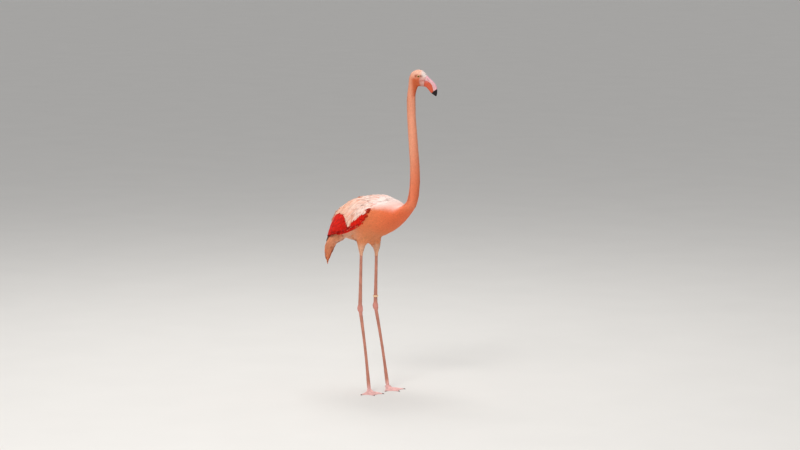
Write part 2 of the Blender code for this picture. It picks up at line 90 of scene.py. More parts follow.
class FlamingoSizes(bpy.types.PropertyGroup):
    """How deep the coat is and how large its vanes are."""
    skin_voxel: size_prop("Skin voxel", "Grain of the skin when it is made whole", 0.0012)
    head_depth: size_prop("Head depth", "Depth of the plumage on the head", 0.0011)
    neck_depth: size_prop("Neck depth", "Depth of the plumage on the neck", 0.0022)
    body_depth: size_prop("Body depth", "Depth of the plumage on trunk and wings", 0.0055)
    tail_depth: size_prop("Tail depth", "Depth of the plumage on the tail", 0.0035)
    thigh_depth: size_prop("Thigh depth", "Depth of the plumage on the thighs", 0.0028)
    head_spacing: size_prop("Head spacing", "Distance between vanes on the head", 0.0011)
    neck_spacing: size_prop("Neck spacing", "Distance between vanes on the neck", 0.0016)
    body_spacing: size_prop("Body spacing", "Distance between vanes on the trunk", 0.0029)
    wing_spacing: size_prop("Wing spacing", "Distance between the wing's large vanes", 0.0055)
    eye_bulge: size_prop("Eye bulge", "How far the clear front of the eye stands out", 0.0006)


class FlamingoColours(bpy.types.PropertyGroup):
    """Plumage, skin and horn colours."""
    neck: colour_prop("Neck", "Sides of the neck", "EC9D7C")
    neck_base: colour_prop("Neck base", "Front of the neck's foot", "EA754C")
    crown: colour_prop("Crown", "Top of the head", "FBC0A5")
    face: colour_prop("Face", "Forehead beside the bill", "F3E2DA")
    cheek: colour_prop("Cheek", "Cheek and throat", "C4501F")
    breast: colour_prop("Breast", "Front of the breast", "EC7247")
    flank: colour_prop("Flank", "Side of the body", "E27C4E")
    belly: colour_prop("Belly", "Underside", "DD8A5C")
    rear_flank: colour_prop("Rear flank", "Side of the body behind the legs", "DFA384")
    back: colour_prop("Back", "Shoulders and upper back", "FBE4DA")
    scapular: colour_prop("Scapulars", "Long pale feathers over the wing", "F4C3A8")
    coverts: colour_prop("Coverts", "Red feathers of the folded wing", "D61702")
    quills: colour_prop("Quills", "Tips of the flight quills", "1D1615")
    tail: colour_prop("Tail", "Tail feathers", "E67E47")
    thigh: colour_prop("Thighs", "Plumage of the thighs", "E0A583")
    leg: colour_prop("Legs", "Bare legs", "C4806B")
    ankle: colour_prop("Ankles", "Ankle joints", "E4988C")
    foot: colour_prop("Feet", "Toes and webs", "F0B9B2")
    lore: colour_prop("Lores", "Bare skin between eye and bill", "CFA098")
    gape: colour_prop("Gape", "Corner of the mouth", "B9675C")
    bill_pink: colour_prop("Bill", "Upper half of the bill", "F0B1BB")
    bill_orange: colour_prop("Keel", "Lower half of the bill", "D0593B")
    bill_black: colour_prop("Bill tip", "Black end of the bill", "170E10")
    iris: colour_prop("Iris", "Ring round the pupil", "C59A4E")
    band: colour_prop("Leg band", "Plain ring on the leg", "F3CDA2")
    floor: colour_prop("Floor", "Studio floor", "E4E0DA")


def sizes():
    """The sizes set in the panel's scene."""
    return bpy.context.scene.flamingo_sizes


def colours():
    """The colours set in the panel's scene."""
    return bpy.context.scene.flamingo_colours


# ---------------------------------------------------------------- places taken from the solids

def box_centre(node):
    """Middle of a node's box."""
    low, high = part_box(node)
    return np.array((low + high) / 2)


BODY_MID = box_centre("trunk")[1]       # the plane the body is symmetric about
EYES = {side: box_centre("eye_" + side) for side in SIDES}
EYE_RADIUS = float((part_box("eye_left")[1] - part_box("eye_left")[0]).z) / 2
HEAD_AT = (EYES["left"] + EYES["right"]) / 2
HEAD_LEFT = (EYES["left"] - EYES["right"]) / np.linalg.norm(EYES["left"] - EYES["right"])
UP = np.array((0.0, 0.0, 1.0))
X, Z = 0, 2             # columns of a place: along the bird, and height
HEAD_AHEAD = np.cross(HEAD_LEFT, UP)
EYE_FORWARD = math.radians(12.0)        # the eyes look to the side and a little ahead
WING_FRONT = 0.045      # how far ahead the folded wing reaches
QUILLS_FROM = -0.225    # behind here the wing is only the quills' tips
SHOULDER_FRONT = 0.052  # ahead of here the wing wears the breast's plumage
SHOULDER_REAR = 0.010   # and from here to there the back of it does
HEAD_LOW = float(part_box("head")[0].z)
TAIL_TIP = np.array((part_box("tail")[0].x, BODY_MID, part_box("tail")[0].z))
NECK_FOOT = float(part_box("neck_lower")[0].z)
THIGH_END = {side: float(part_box("thigh_" + side)[0].z) for side in SIDES}
ANKLE = {side: box_centre("ankle_" + side) for side in SIDES}
WING_END = np.array((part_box("wing_left")[0].x, 0.014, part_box("wing_left")[0].z))


def eye_axis(side):
    """Way that an eye looks."""
    outward_way = HEAD_LEFT * (1.0 if side == "left" else -1.0)
    return outward_way * math.cos(EYE_FORWARD) + HEAD_AHEAD * math.sin(EYE_FORWARD)


def head_axes(points):
    """Points as distances ahead of, outward from and above the middle of the eyes."""
    rel = points - HEAD_AT
    return rel @ HEAD_AHEAD, np.abs(rel @ HEAD_LEFT), rel[:, 2]


def on_side(points, side):
    """Which points are on one side of the middle plane."""
    return (points[:, 1] > BODY_MID) == (side == "left")


def outward(points):
    """Distance to the left or right of the middle plane."""
    return np.abs(points[:, 1] - BODY_MID)


# ---------------------------------------------------------------- small number tools

def ease(value, start, end):
    """0 at start and before it, 1 at end and past it, smooth between, whichever is larger."""
    share = np.clip((value - start) / (end - start), 0.0, 1.0)
    return share * share * (3.0 - 2.0 * share)


def unit(vectors):
    """Rows at length 1."""
    return vectors / np.maximum(np.linalg.norm(vectors, axis=-1, keepdims=True), TINY)


def dots(a, b):
    """Dot product of each pair of rows."""
    return (a * b).sum(-1, keepdims=True)


def mix(a, b, share):
    """Blend of two colours, or of two rows of colours, by a share for each row."""
    share = np.asarray(share)[..., None]
    return np.asarray(a) * (1.0 - share) + np.asarray(b) * share


def mottle(points, grain, seed):
    """Smooth noise between -1 and 1 over space, with patches about grain across."""
    rng = np.random.default_rng(seed)
    count = 7
    waves = unit(rng.normal(size=(count, 3))) * TWO_PI / grain
    waves = waves * rng.uniform(0.35, 0.9, (count, 1))
    return np.sin(points @ waves.T + rng.uniform(0, TWO_PI, count)).sum(-1) / 3.0


# ---------------------------------------------------------------- objects and modifiers

def make_active(thing):
    """Select one object alone and make it the active one."""
    bpy.ops.object.select_all(action="DESELECT")
    thing.select_set(True)
    bpy.context.view_layer.objects.active = thing


def apply_modifier(thing, kind, **settings):
    """Add a modifier, set it and apply it."""
    modifier = thing.modifiers.new(kind.title(), kind)
    for name, value in settings.items():
        setattr(modifier, name, value)
    make_active(thing)
    bpy.ops.object.modifier_apply(modifier=modifier.name)


def vertex_array(mesh, what="co"):
    """Places of all vertices, or their normals."""
    values = np.empty(len(mesh.vertices) * 3, np.float32)
    if what == "co":
        mesh.vertices.foreach_get("co", values)
    else:
        mesh.vertex_normals.foreach_get("vector", values)
    return values.reshape(-1, 3).astype(float)


def triangle_array(mesh):
    """Corners of all triangles."""
    mesh.calc_loop_triangles()
    corners = np.empty(len(mesh.loop_triangles) * 3, np.int32)
    mesh.loop_triangles.foreach_get("vertices", corners)
    return corners.reshape(-1, 3)


def set_points(mesh, points):
    """Move all vertices to new places."""
    mesh.vertices.foreach_set("co", points.astype(np.float32).ravel())
    mesh.update()


def set_tint(mesh, tint):
    """Store a linear colour on every vertex, for the material to read."""
    layer = mesh.color_attributes.get("Tint") or mesh.color_attributes.new(
        "Tint", "FLOAT_COLOR", "POINT")
    full = np.ones((len(mesh.vertices), 4), np.float32)
    full[:, :3] = np.clip(tint, 0.0, 1.0)
    layer.data.foreach_set("color", full.ravel())


def new_object(name, data):
    """An object in the scene."""
    thing = bpy.data.objects.new(name, data)
    bpy.context.scene.collection.objects.link(thing)
    return thing


def welded_copy(name, nodes, grow=0.0):
    """One object from copies of CAD nodes, each merged and pushed out a little."""
    copies = []
    for node in nodes:
        copy = new_object(name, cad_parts[node].data.copy())
        copy.data.materials.clear()
        make_active(copy)
        bpy.ops.object.mode_set(mode="EDIT")
        bpy.ops.mesh.select_all(action="SELECT")
        bpy.ops.mesh.remove_doubles(threshold=MERGE)
        bpy.ops.object.mode_set(mode="OBJECT")
        set_points(copy.data, vertex_array(copy.data) + vertex_array(copy.data, "normal") * grow)
        copies.append(copy)
    bpy.ops.object.select_all(action="DESELECT")
    for copy in copies:
        copy.select_set(True)
    bpy.context.view_layer.objects.active = copies[0]
    if len(copies) > 1:
        bpy.ops.object.join()
    return bpy.context.view_layer.objects.active


def finish_piece(thing, slot, material, nodes=()):
    """Give a finished piece its material and smooth faces, attach it to the root body and hide the
    nodes it replaces.
    """
    thing.data.materials.clear()
    thing.data.materials.append(material)
    faces = thing.data.polygons
    faces.foreach_set("use_smooth", np.ones(len(faces), bool))
    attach(thing, "root")
    if nodes:
        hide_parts(*nodes)
    return thing


# ---------------------------------------------------------------- materials

def add_node(tree, kind, inputs=None, **settings):
    """Add a node, set its settings, and set or link its inputs."""
    node = tree.nodes.new(kind)
    for name, value in settings.items():
        setattr(node, name, value)
    for name, value in (inputs or {}).items():
        if isinstance(value, bpy.types.NodeSocket):
            tree.links.new(value, node.inputs[name])
        else:
            node.inputs[name].default_value = value
    return node


def new_material(name):
    """A material with a Principled shader, its node tree, and Object coordinates."""
    material = bpy.data.materials.new(name)
    material.use_nodes = True
    tree = material.node_tree
    return material, tree, add_node(tree, "ShaderNodeTexCoord").outputs["Object"]


def dress(tree, pattern, low, high, relief=None, **values):
    """Finish the shader: the stored tint times a pattern, the pattern as relief, plain values."""
    shader = tree.nodes["Principled BSDF"]
    tint = add_node(tree, "ShaderNodeAttribute", attribute_name="Tint")
    level = add_node(tree, "ShaderNodeMapRange", {0: pattern, 3: low, 4: high})
    grey = add_node(tree, "ShaderNodeCombineColor", dict.fromkeys(range(3), level.outputs[0]))
    colour = add_node(tree, "ShaderNodeMix", {0: 1.0, 6: tint.outputs["Color"],
                                              7: grey.outputs[0]},
                      data_type="RGBA", blend_type="MULTIPLY")
    tree.links.new(colour.outputs[2], shader.inputs["Base Color"])
    if relief:
        bump = add_node(tree, "ShaderNodeBump",
                        {"Height": pattern, "Strength": relief[0], "Distance": relief[1]})
        tree.links.new(bump.outputs[0], shader.inputs["Normal"])
    for socket, value in values.items():
        shader.inputs[socket.replace("_", " ")].default_value = value
    return shader


def contour_feather_material():
    """Contour feather: matt keratin barbs that lie side by side and scatter light softly."""
    material, tree, spot = new_material("contour_feather_keratin")
    vane = add_node(tree, "ShaderNodeUVMap", uv_map="Vane")
    # Barbs leave the shaft at a slant, some 45 to a side, coarser than life so that they show
    split = add_node(tree, "ShaderNodeSeparateXYZ", {0: vane.outputs[0]})
    across = add_node(tree, "ShaderNodeMath", {0: split.outputs[0]}, operation="ABSOLUTE")
    slant = add_node(tree, "ShaderNodeMath", {0: across.outputs[0], 1: -0.7, 2: split.outputs[1]},
                     operation="MULTIPLY_ADD")
    place = add_node(tree, "ShaderNodeCombineXYZ", {0: slant.outputs[0]})
    barbs = add_node(tree, "ShaderNodeTexWave",
                     {0: place.outputs[0], "Scale": 14.0, "Distortion": 0.6, "Detail": 1.0},
                     wave_type="BANDS", bands_direction="X")
    # Down shows between the barbs as flecks of about 5 mm
    down = add_node(tree, "ShaderNodeTexNoise", {"Vector": spot, "Scale": 180.0, "Detail": 3.0})
    both = add_node(tree, "ShaderNodeMix", {0: 0.5, 2: barbs.outputs["Fac"],
                                            3: down.outputs["Fac"]}, data_type="FLOAT")
    dress(tree, both.outputs[0], 0.88, 1.08, relief=(0.25, 0.0003), Roughness=0.8,
          Specular_IOR_Level=0.15, Sheen_Weight=0.04, Sheen_Roughness=0.5)
    return material


def bird_skin_material():
    """Bird skin: down between the feathers, and dry plates of leathery scale on the legs."""
    material, tree, spot = new_material("bird_skin_and_scale")
    # Scales of the shank and toes are about 2.5 mm wide
    stretched = add_node(tree, "ShaderNodeMapping", {"Vector": spot, "Scale": (1.0, 1.0, 1.35)})
    plates = add_node(tree, "ShaderNodeTexVoronoi",
                      {"Vector": stretched.outputs[0], "Scale": 400.0},
                      feature="DISTANCE_TO_EDGE")
    edge = add_node(tree, "ShaderNodeMapRange", {0: plates.outputs["Distance"], 1: 0.0, 2: 0.09})
    bare = add_node(tree, "ShaderNodeAttribute", attribute_name="Bare")
    scaled = add_node(tree, "ShaderNodeMix",
                      {0: bare.outputs["Fac"], 2: 1.0, 3: edge.outputs[0]}, data_type="FLOAT")
    grain = add_node(tree, "ShaderNodeTexNoise", {"Vector": spot, "Scale": 420.0, "Detail": 4.0})
    both = add_node(tree, "ShaderNodeMix", {0: 0.35, 2: scaled.outputs[0],
                                            3: grain.outputs["Fac"]}, data_type="FLOAT")
    dress(tree, both.outputs[0], 0.78, 1.05, relief=(0.45, 0.0004), Roughness=0.6,
          Specular_IOR_Level=0.35)
    return material


def horn_material(name, roughness, streak):
    """Horn of bill or claw: smooth keratin with a dull shine and faint growth lines."""
    material, tree, spot = new_material(name)
    long = add_node(tree, "ShaderNodeMapping", {"Vector": spot, "Scale": (1.0, 1.0, 0.35)})
    lines = add_node(tree, "ShaderNodeTexNoise",
                     {"Vector": long.outputs[0], "Scale": streak, "Detail": 5.0})
    dress(tree, lines.outputs["Fac"], 0.80, 1.16, relief=(0.2, 0.0003), Roughness=roughness,
          IOR=1.5, Specular_IOR_Level=0.28)
    return material


def eye_material():
    """Eye: a wet, clear cornea over the iris, so its highlight is small and sharp."""
    material, tree, spot = new_material("wet_cornea_over_iris")
    # Fibres of the iris are about 0.5 mm apart
    grain = add_node(tree, "ShaderNodeTexNoise", {"Vector": spot, "Scale": 1800.0, "Detail": 2.0})
    dress(tree, grain.outputs["Fac"], 0.85, 1.1, Roughness=0.5, Specular_IOR_Level=0.1,
          Coat_Weight=0.8, Coat_Roughness=0.02, Coat_IOR=1.376)
    return material


def band_material():
    """Leg band: moulded acetal ring, satin, with scuffs about 2 mm across."""
    material, tree, spot = new_material("moulded_acetal_band")
    scuffs = add_node(tree, "ShaderNodeTexNoise", {"Vector": spot, "Scale": 500.0, "Detail": 6.0})
    rough = add_node(tree, "ShaderNodeMapRange", {0: scuffs.outputs["Fac"], 3: 0.35, 4: 0.55})
    shader = dress(tree, scuffs.outputs["Fac"], 0.86, 1.08, IOR=1.48)
    tree.links.new(rough.outputs[0], shader.inputs["Roughness"])
    return material


def floor_material():
    """Studio floor: matt painted board."""
    material, tree, spot = new_material("matt_painted_floor")
    grain = add_node(tree, "ShaderNodeTexNoise", {"Vector": spot, "Scale": 3.0, "Detail": 2.0})
    dress(tree, grain.outputs["Fac"], 0.97, 1.02, Roughness=0.9)
    return material


def shared_material(name, maker, *details):
    """The material of that name, made the first time it is asked for."""
    return bpy.data.materials.get(name) or maker(*details)


# ---------------------------------------------------------------- markings

# The red of the folded wing shows between these two lines, seen from the side: (x, z)
SCAPULAR_LINE = ((-0.290, 0.690), (-0.250, 0.725), (-0.225, 0.740), (-0.180, 0.753),
                 (-0.145, 0.753), (-0.118, 0.740), (-0.100, 0.722), (-0.089, 0.714),
                 (-0.066, 0.732), (-0.048, 0.740), (-0.030, 0.752), (-0.014, 0.764),
                 (-0.006, 0.776), (0.006, 0.770), (0.013, 0.784), (0.021, 0.784),
                 (0.026, 0.802), (0.033, 0.800), (0.040, 0.811), (0.075, 0.812))
FLANK_LINE = ((-0.290, 0.640), (-0.234, 0.660), (-0.189, 0.670), (-0.127, 0.686),
              (-0.080, 0.704), (-0.030, 0.728), (0.000, 0.744), (0.025, 0.764), (0.036, 0.781),
              (0.044, 0.806), (0.075, 0.812))
BACK_LINE = ((-0.300, 0.700), (0.030, 0.800), (0.045, 0.806), (0.070, 0.805), (0.098, 0.802),
             (0.130, 0.798), (0.150, 0.808), (0.172, 0.826))
MID_STRIP = 0.013       # half width of the pale strip between the folded wings
COVERTS_END = 0.654     # height where the red gives way to the quills
QUILLS_END = 0.628      # height of the quills' tips
SCAPULARS_END = 0.660   # height where the pale feathers of the back end


def line_height(points, line):
    """Height of a side-view line at each point's place along the body."""
    xs, zs = zip(*line)
    return np.interp(points[:, 0], xs, zs)


def over_scapulars(points):
    """How far a point is inside the pale area of the back, as a height."""
    above = points[:, 2] - line_height(points, SCAPULAR_LINE)
    return np.maximum(above, MID_STRIP - outward(points))


def over_flank_line(points):
    """Height above the folded wing's lower edge."""
    return points[:, 2] - line_height(points, FLANK_LINE)


def blot(ahead, up, at, size):
    """A soft round mark on the head, seen from the side: 1 in its middle, 0 away from it."""
    return np.exp(-(((ahead - at[0]) / size[0]) ** 2 + ((up - at[1]) / size[1]) ** 2))


def head_colour(points):
    """Pale crown and forehead, orange cheek and throat, bare pink round the bill's root; painted
    shade behind the eye and under the brow.
    """
    c = colours()
    ahead, _, up = head_axes(points)
    colour = mix(c.neck, c.crown, ease(up + 0.35 * ahead, -0.020, 0.016))
    cheek = ease(up, 0.004, -0.012) * ease(ahead, 0.022, 0.004) * ease(ahead, -0.040, -0.020)
    colour = mix(colour, c.cheek, 0.85 * cheek)
    # Painted shade: the fold behind the eye, darkened towards a deep cheek colour
    shade_behind_eye = blot(ahead, up, (-0.010, 0.004), (0.008, 0.006))
    colour = mix(colour, np.array(c.cheek) * 0.62, 0.95 * shade_behind_eye)
    front = ease(ahead + 0.30 * up, 0.010, 0.024) * ease(up, -0.012, 0.002)
    colour = mix(colour, c.face, front)
    lore = ease(ahead, 0.003, 0.014) * ease(up, 0.002, -0.008)
    colour = mix(colour, c.lore, 0.8 * lore)
    # Painted shade: the brow's shadow, a dark patch just ahead of the eye
    brow_shade = blot(ahead, up, (0.011, 0.001), (0.009, 0.0055))
    colour = mix(colour, np.array(c.gape) * 0.45, 0.85 * brow_shade)
    return mix(colour, c.gape, 0.85 * blot(ahead, up, (0.019, -0.0175), (0.009, 0.0040)))


def neck_colour(points):
    """Neck: deeper salmon towards its foot and down its front."""
    c = colours()
    colour = mix(c.neck, c.neck_base, 0.75 * ease(points[:, 2], 1.08, 0.86))
    front = ease(points[:, 0], box_centre("neck_middle")[0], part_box("neck_middle")[1].x)
    return mix(colour, c.cheek, 0.35 * front)


def body_colour(points):
    """Trunk: strong salmon breast, paler to the rear, near-white shoulders and back."""
    c = colours()
    x, z = points[:, 0], points[:, 2]
    colour = mix(c.flank, c.breast, ease(x, 0.02, 0.15))
    colour = mix(colour, c.belly, 0.7 * ease(z, 0.735, 0.680) * ease(x, 0.10, 0.02))
    colour = mix(colour, c.rear_flank, ease(x, -0.01, -0.12))
    white = ease(z - line_height(points, BACK_LINE), -0.016, 0.020) * ease(x, 0.172, 0.126)
    colour = mix(colour, c.back, white)
    return mix(colour, neck_colour(points), ease(x, 0.125, 0.168) * ease(z, 0.785, 0.835))


def wing_colour(points):
    """Folded wing: red between its two lines, pale above them and salmon below."""
    c = colours()
    pale = mix(c.scapular, c.back, ease(points[:, 0], -0.12, 0.05))
    colour = mix(c.coverts, pale, ease(over_scapulars(points), 0.006, 0.012))
    below = ease(-over_flank_line(points), 0.002, 0.008) * ease(points[:, 0], -0.03, 0.0)
    shoulder = ease(points[:, 0], 0.038, 0.046)
    return mix(colour, body_colour(points), np.maximum(below, shoulder))


def tail_colour(points):
    """Tail: paler at its root."""
    c = colours()
    low = ease(points[:, 2], 0.640, 0.545)
    return mix(mix(c.tail, c.rear_flank, 0.5 * (1 - low)), c.flank, 0.5 * low)


def thigh_colour(points):
    """Thigh: the belly's colour at its top."""
    c = colours()
    return mix(c.thigh, c.belly, ease(points[:, 2], 0.635, 0.662))


def leg_colour(points):
    """Bare legs: dull pink, brighter at the ankles and palest on the feet."""
    c = colours()
    z = points[:, 2]
    joint = sum(np.exp(-((z - ANKLE[side][2]) / 0.020) ** 2) for side in SIDES) / 2
    colour = mix(c.leg, c.ankle, 0.75 * joint)
    colour = mix(colour, c.foot, ease(z, 0.050, 0.008))
    return colour * (1.0 + 0.10 * mottle(points, 0.012, 3)[:, None])


PAINT = {"head": head_colour, "neck": neck_colour, "trunk": body_colour, "wing": wing_colour,
         "tail": tail_colour, "thigh": thigh_colour, "leg": leg_colour}
KINDS = tuple(PAINT)
TRUNK, WING = KINDS.index("trunk"), KINDS.index("wing")


def kind_of(node):
    """Number of the part of the bird that a flesh node belongs to: bare leg, if no other."""
    return next((n for n, kind in enumerate(KINDS) if node.startswith(kind)), len(KINDS) - 1)


def of_kind(kinds, *names):
    """Which rows belong to any of the named parts of the bird. Kinds are numbers in KINDS."""
    return np.isin(kinds, [KINDS.index(name) for name in names])


def paint(points, kinds):
    """Markings at points of known kind. Skin and coat both take their colour from here."""
    tint = np.zeros((len(points), 3))
    for kind in KINDS:
        rows = of_kind(kinds, kind)
        if rows.any():
            tint[rows] = PAINT[kind](points[rows])
    return tint


# ---------------------------------------------------------------- the skin

BELOW_FACE = 0.0004     # a ray starts this far under the face it leaves


class SearchTree:
    """Nearest points on a triangle mesh, with smooth normals."""

    def __init__(self, points, triangles, normals):
        self.points, self.triangles, self.normals = points, triangles, normals
        self.tree = BVHTree.FromPolygons(points.tolist(), triangles.tolist())

    def nearest(self, places):
        """Nearest spots, the normals there and the triangles they lie on."""
        found = [self.tree.find_nearest(place) for place in places.tolist()]
        spots = np.array([f[0] for f in found])
        faces = np.array([f[2] for f in found])
        return spots, self.smooth_normals(spots, faces), faces

    def smooth_normals(self, spots, faces):
        """Normals at spots on known triangles, blended from the corners."""
        a, b, c = (self.points[self.triangles[faces, k]] for k in range(3))
        whole = np.linalg.norm(np.cross(b - a, c - a), axis=1) + TINY_AREA
        wa = np.linalg.norm(np.cross(b - spots, c - spots), axis=1) / whole
        wb = np.linalg.norm(np.cross(c - spots, a - spots), axis=1) / whole
        corners = self.normals[self.triangles[faces]]
        return unit(corners[:, 0] * wa[:, None] + corners[:, 1] * wb[:, None]
                    + corners[:, 2] * np.clip(1 - wa - wb, 0, 1)[:, None])

    def room_inside(self, points, normals):
        """How thick the body is below each point."""
        start = points - normals * BELOW_FACE
        hits = [self.tree.ray_cast(p, n) for p, n in zip(start.tolist(), (-normals).tolist())]
        return np.array([hit[3] if hit[0] is not None else 1.0 for hit in hits])


def flesh_tree():
    """Search tree over the solids of flesh, and the kind of each of its triangles."""
    points, triangles, kinds, count = [], [], [], 0
    for node in FLESH:
        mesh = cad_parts[node].data
        corners = triangle_array(mesh)
        points.append(vertex_array(mesh))
        triangles.append(corners + count)
        kinds += [kind_of(node)] * len(corners)
        count += len(mesh.vertices)
    points = np.concatenate(points)
    return SearchTree(points, np.concatenate(triangles), np.zeros_like(points)), np.array(kinds)


def edge_array(mesh):
    """Pairs of vertices that each edge joins."""
    pairs = np.empty(len(mesh.edges) * 2, np.int32)
    mesh.edges.foreach_get("vertices", pairs)
    return pairs.reshape(-1, 2)


def spread(values, edges, rounds):
    """Average a value or a vector on each vertex with its neighbours, again and again."""
    count = len(values)
    flat = values.reshape(count, -1)
    a, b = edges[:, 0], edges[:, 1]
    degree = np.bincount(a, minlength=count) + np.bincount(b, minlength=count)
    for _ in range(rounds):
        total = np.stack([np.bincount(a, flat[b, k], count) + np.bincount(b, flat[a, k], count)
                          for k in range(flat.shape[1])], 1)
        flat = 0.5 * flat + 0.5 * total / np.maximum(degree, 1)[:, None]
    return flat.reshape(values.shape)


LID_ANGLE = math.radians(47.0)      # from the eye's axis to the edge of the lids
LID_WIDTH = math.radians(15.0)
LID_DROOP = math.radians(5.0)       # the upper lid's edge comes this much nearer the axis
LID_RISE = (math.radians(-9.0), math.radians(5.0))      # where the rim rises, from its edge
LID_THICK = 0.0007
LID_REACH = math.radians(98.0)      # where the lids have run out into the face
UNDER_BALL = 0.0012                 # how far the skin lies below the face of the eyeball
GAPE_CREASE = ((0.0150, -0.0165), (0.0285, -0.0190))    # ahead and above, seen from the side
BARE_DEPTH = 0.0002     # the skin of the bare legs lies this far inside their solids
MOST_OF_LIMB = 0.28     # share of a limb's thickness that the coat may take
UNDER_COAT = 0.97       # the skin is this much darker than the coat over it


def shape_lids(points):
    """Press the skin under each eyeball and raise a rim of lid round its opening."""
    for side in SIDES:
        rel = points - EYES[side]
        far = np.maximum(np.linalg.norm(rel, axis=1), TINY)
        angle = np.arccos(np.clip(rel @ eye_axis(side) / far, -1, 1))
        tilt = rel[:, 2] / far
        edge = LID_ANGLE - LID_DROOP * np.maximum(tilt, 0.0)
        near = far < EYE_RADIUS * 2.2
        under = near & (angle < edge)
        rim = near & (angle >= edge) & (angle < LID_REACH)
        rise = ease(angle, edge + LID_RISE[0], edge + LID_RISE[1])
        lid = EYE_RADIUS - UNDER_BALL + (UNDER_BALL + LID_THICK) * rise
        share = 1.0 - ease(angle, edge + LID_WIDTH, LID_REACH)
        wanted = np.where(rim, np.maximum(far, lid) * (1 - share) + lid * share, far)
        wanted = np.where(under, lid, wanted)
        points = EYES[side] + rel * (wanted / far)[:, None]
    return points


def groove_share(ahead, out, up, line, width):
    """How much a point is in the groove along a short line on both sides of the face."""
    (a0, u0), (a1, u1) = line
    along = np.array((a1 - a0, u1 - u0))
    length = np.linalg.norm(along)
    along = along / length
    s = (ahead - a0) * along[0] + (up - u0) * along[1]
    off = (ahead - a0) * -along[1] + (up - u0) * along[0]
    past = np.maximum(np.maximum(-s, s - length), 0.0)
    return np.exp(-(off ** 2 + past ** 2) / width ** 2) * (out > 0.004)


def press_crease(points, normals, line, width, depth):
    """Press a groove into the face along a short line."""
    return points - normals * (groove_share(*head_axes(points), line, width) * depth)[:, None]


def thigh_top(points):
    """How near a point is to where a thigh leaves the trunk."""
    near = np.zeros(len(points))
    for side in SIDES:
        low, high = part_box("thigh_" + side)
        off = np.hypot(points[:, 0] - (low.x + high.x) / 2, points[:, 1] - (low.y + high.y) / 2)
        height = ease(points[:, 2], high.z - 0.060, high.z - 0.018)
        near = np.maximum(near, height * (1 - ease(off, 0.055, 0.085)))
    return near * (1 - ease(points[:, 2], high.z + 0.02, high.z + 0.05))


def ridge_balls():
    """Places and size of balls that fill the furrow where the folded wings meet on the back."""
    wings = np.concatenate([vertex_array(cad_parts["wing_" + side].data) for side in SIDES])
    for x in np.linspace(-0.080, -0.256, 27):
        size = 0.014 - 0.006 * float(ease(x, -0.22, -0.26))
        close = (np.abs(wings[:, 0] - x) < 0.012) & (outward(wings) < 0.035)
        if close.any():
            yield (x, BODY_MID, wings[close, 2].max() - size - 0.0015), size


def settle_wings(points, kinds):
    """Let the folded wing end at its lower edge, whichever solid is nearer there."""
    x, above = points[:, 0], over_flank_line(points)
    flank = (x < WING_FRONT) & (outward(points) > 0.022) & (above > 0.0)
    back = (x < -0.010) & (above > 0.035)
    kinds = np.where((kinds == TRUNK) & (flank | back), WING, kinds)
    return np.where((kinds == WING) & (above < -0.004) & (x > QUILLS_FROM), TRUNK, kinds)


def add_ball(place, radius, segments, rings):
    """A ball, as an object of its own."""
    bpy.ops.mesh.primitive_uv_sphere_add(segments=segments, ring_count=rings, location=place,
                                         radius=radius)
    return bpy.context.active_object


def closed_flesh():
    """The solids of flesh as one closed mesh, with sockets and back filled."""
    # The solids meet face to face, so each is pushed out a little to overlap the next
    skin = welded_copy("skin", FLESH, grow=0.00025)
    # A plug in each socket, so that the skin closes behind the eyes
    balls = [add_ball(EYES[side], EYE_RADIUS + 0.0002, 24, 16) for side in SIDES]
    balls += [add_ball(place, radius, 16, 10) for place, radius in ridge_balls()]
    make_active(skin)
    for ball in balls:
        ball.select_set(True)
    bpy.ops.object.join()
    skin = bpy.context.view_layer.objects.active
    coarser = 1.0
    apply_modifier(skin, "REMESH", mode="VOXEL", voxel_size=sizes().skin_voxel * coarser)
    return skin


def coat_depth(points, kinds, edges, room):
    """How deep the skin lies below the solids' outline, to leave room for the coat."""
    s = sizes()
    table = {"head": s.head_depth, "neck": s.neck_depth, "trunk": s.body_depth,
             "wing": s.body_depth, "tail": s.tail_depth, "thigh": s.thigh_depth,
             "leg": BARE_DEPTH}
    depth = np.array([table[kind] for kind in KINDS])[kinds]
    ahead, _, _ = head_axes(points)
    depth = depth * (1 - 0.8 * of_kind(kinds, "head") * ease(ahead, 0.014, 0.028))
    for side in SIDES:
        foot_of_thigh = ease(points[:, 2], THIGH_END[side], THIGH_END[side] + 0.03)
        own = of_kind(kinds, "thigh") & on_side(points, side)
        depth = np.where(own, depth * (0.25 + 0.75 * foot_of_thigh), depth)
    return spread(np.minimum(depth, MOST_OF_LIMB * room), edges, 8)


def make_skin():
    """One skin under the coat, painted, with lids and the crease of the mouth."""
    skin = closed_flesh()
    soften(skin)
    thin_out(skin)
    refine_face(skin)
    mesh = skin.data
    tree, kinds_of_faces = flesh_tree()
    points = vertex_array(mesh)
    edges = edge_array(mesh)
    points = points + thigh_top(points)[:, None] * (spread(points, edges, 9) - points)
    _, _, faces = tree.nearest(points)
    kinds = settle_wings(points, kinds_of_faces[faces])
    normals = vertex_array(mesh, "normal")
    room = SearchTree(points, triangle_array(mesh), normals).room_inside(points, normals)
    points = points - normals * coat_depth(points, kinds, edges, room)[:, None]
    points = press_crease(points, normals, GAPE_CREASE, width=0.0011, depth=0.0010)
    points = shape_lids(points)
    set_points(mesh, points)
    set_tint(mesh, paint(points, kinds) * UNDER_COAT)
    bare = spread(of_kind(kinds, "leg").astype(float), edges, 2)
    for name, kind, values in (("Bare", "FLOAT", bare.astype(np.float32)),
                               ("Part", "INT", kinds.astype(np.int32))):
        layer = mesh.attributes.new(name, kind, "POINT")
        layer.data.foreach_set("value", values)
    return finish_piece(skin, "leg_skin",
                        shared_material("bird_skin_and_scale", bird_skin_material), FLESH)


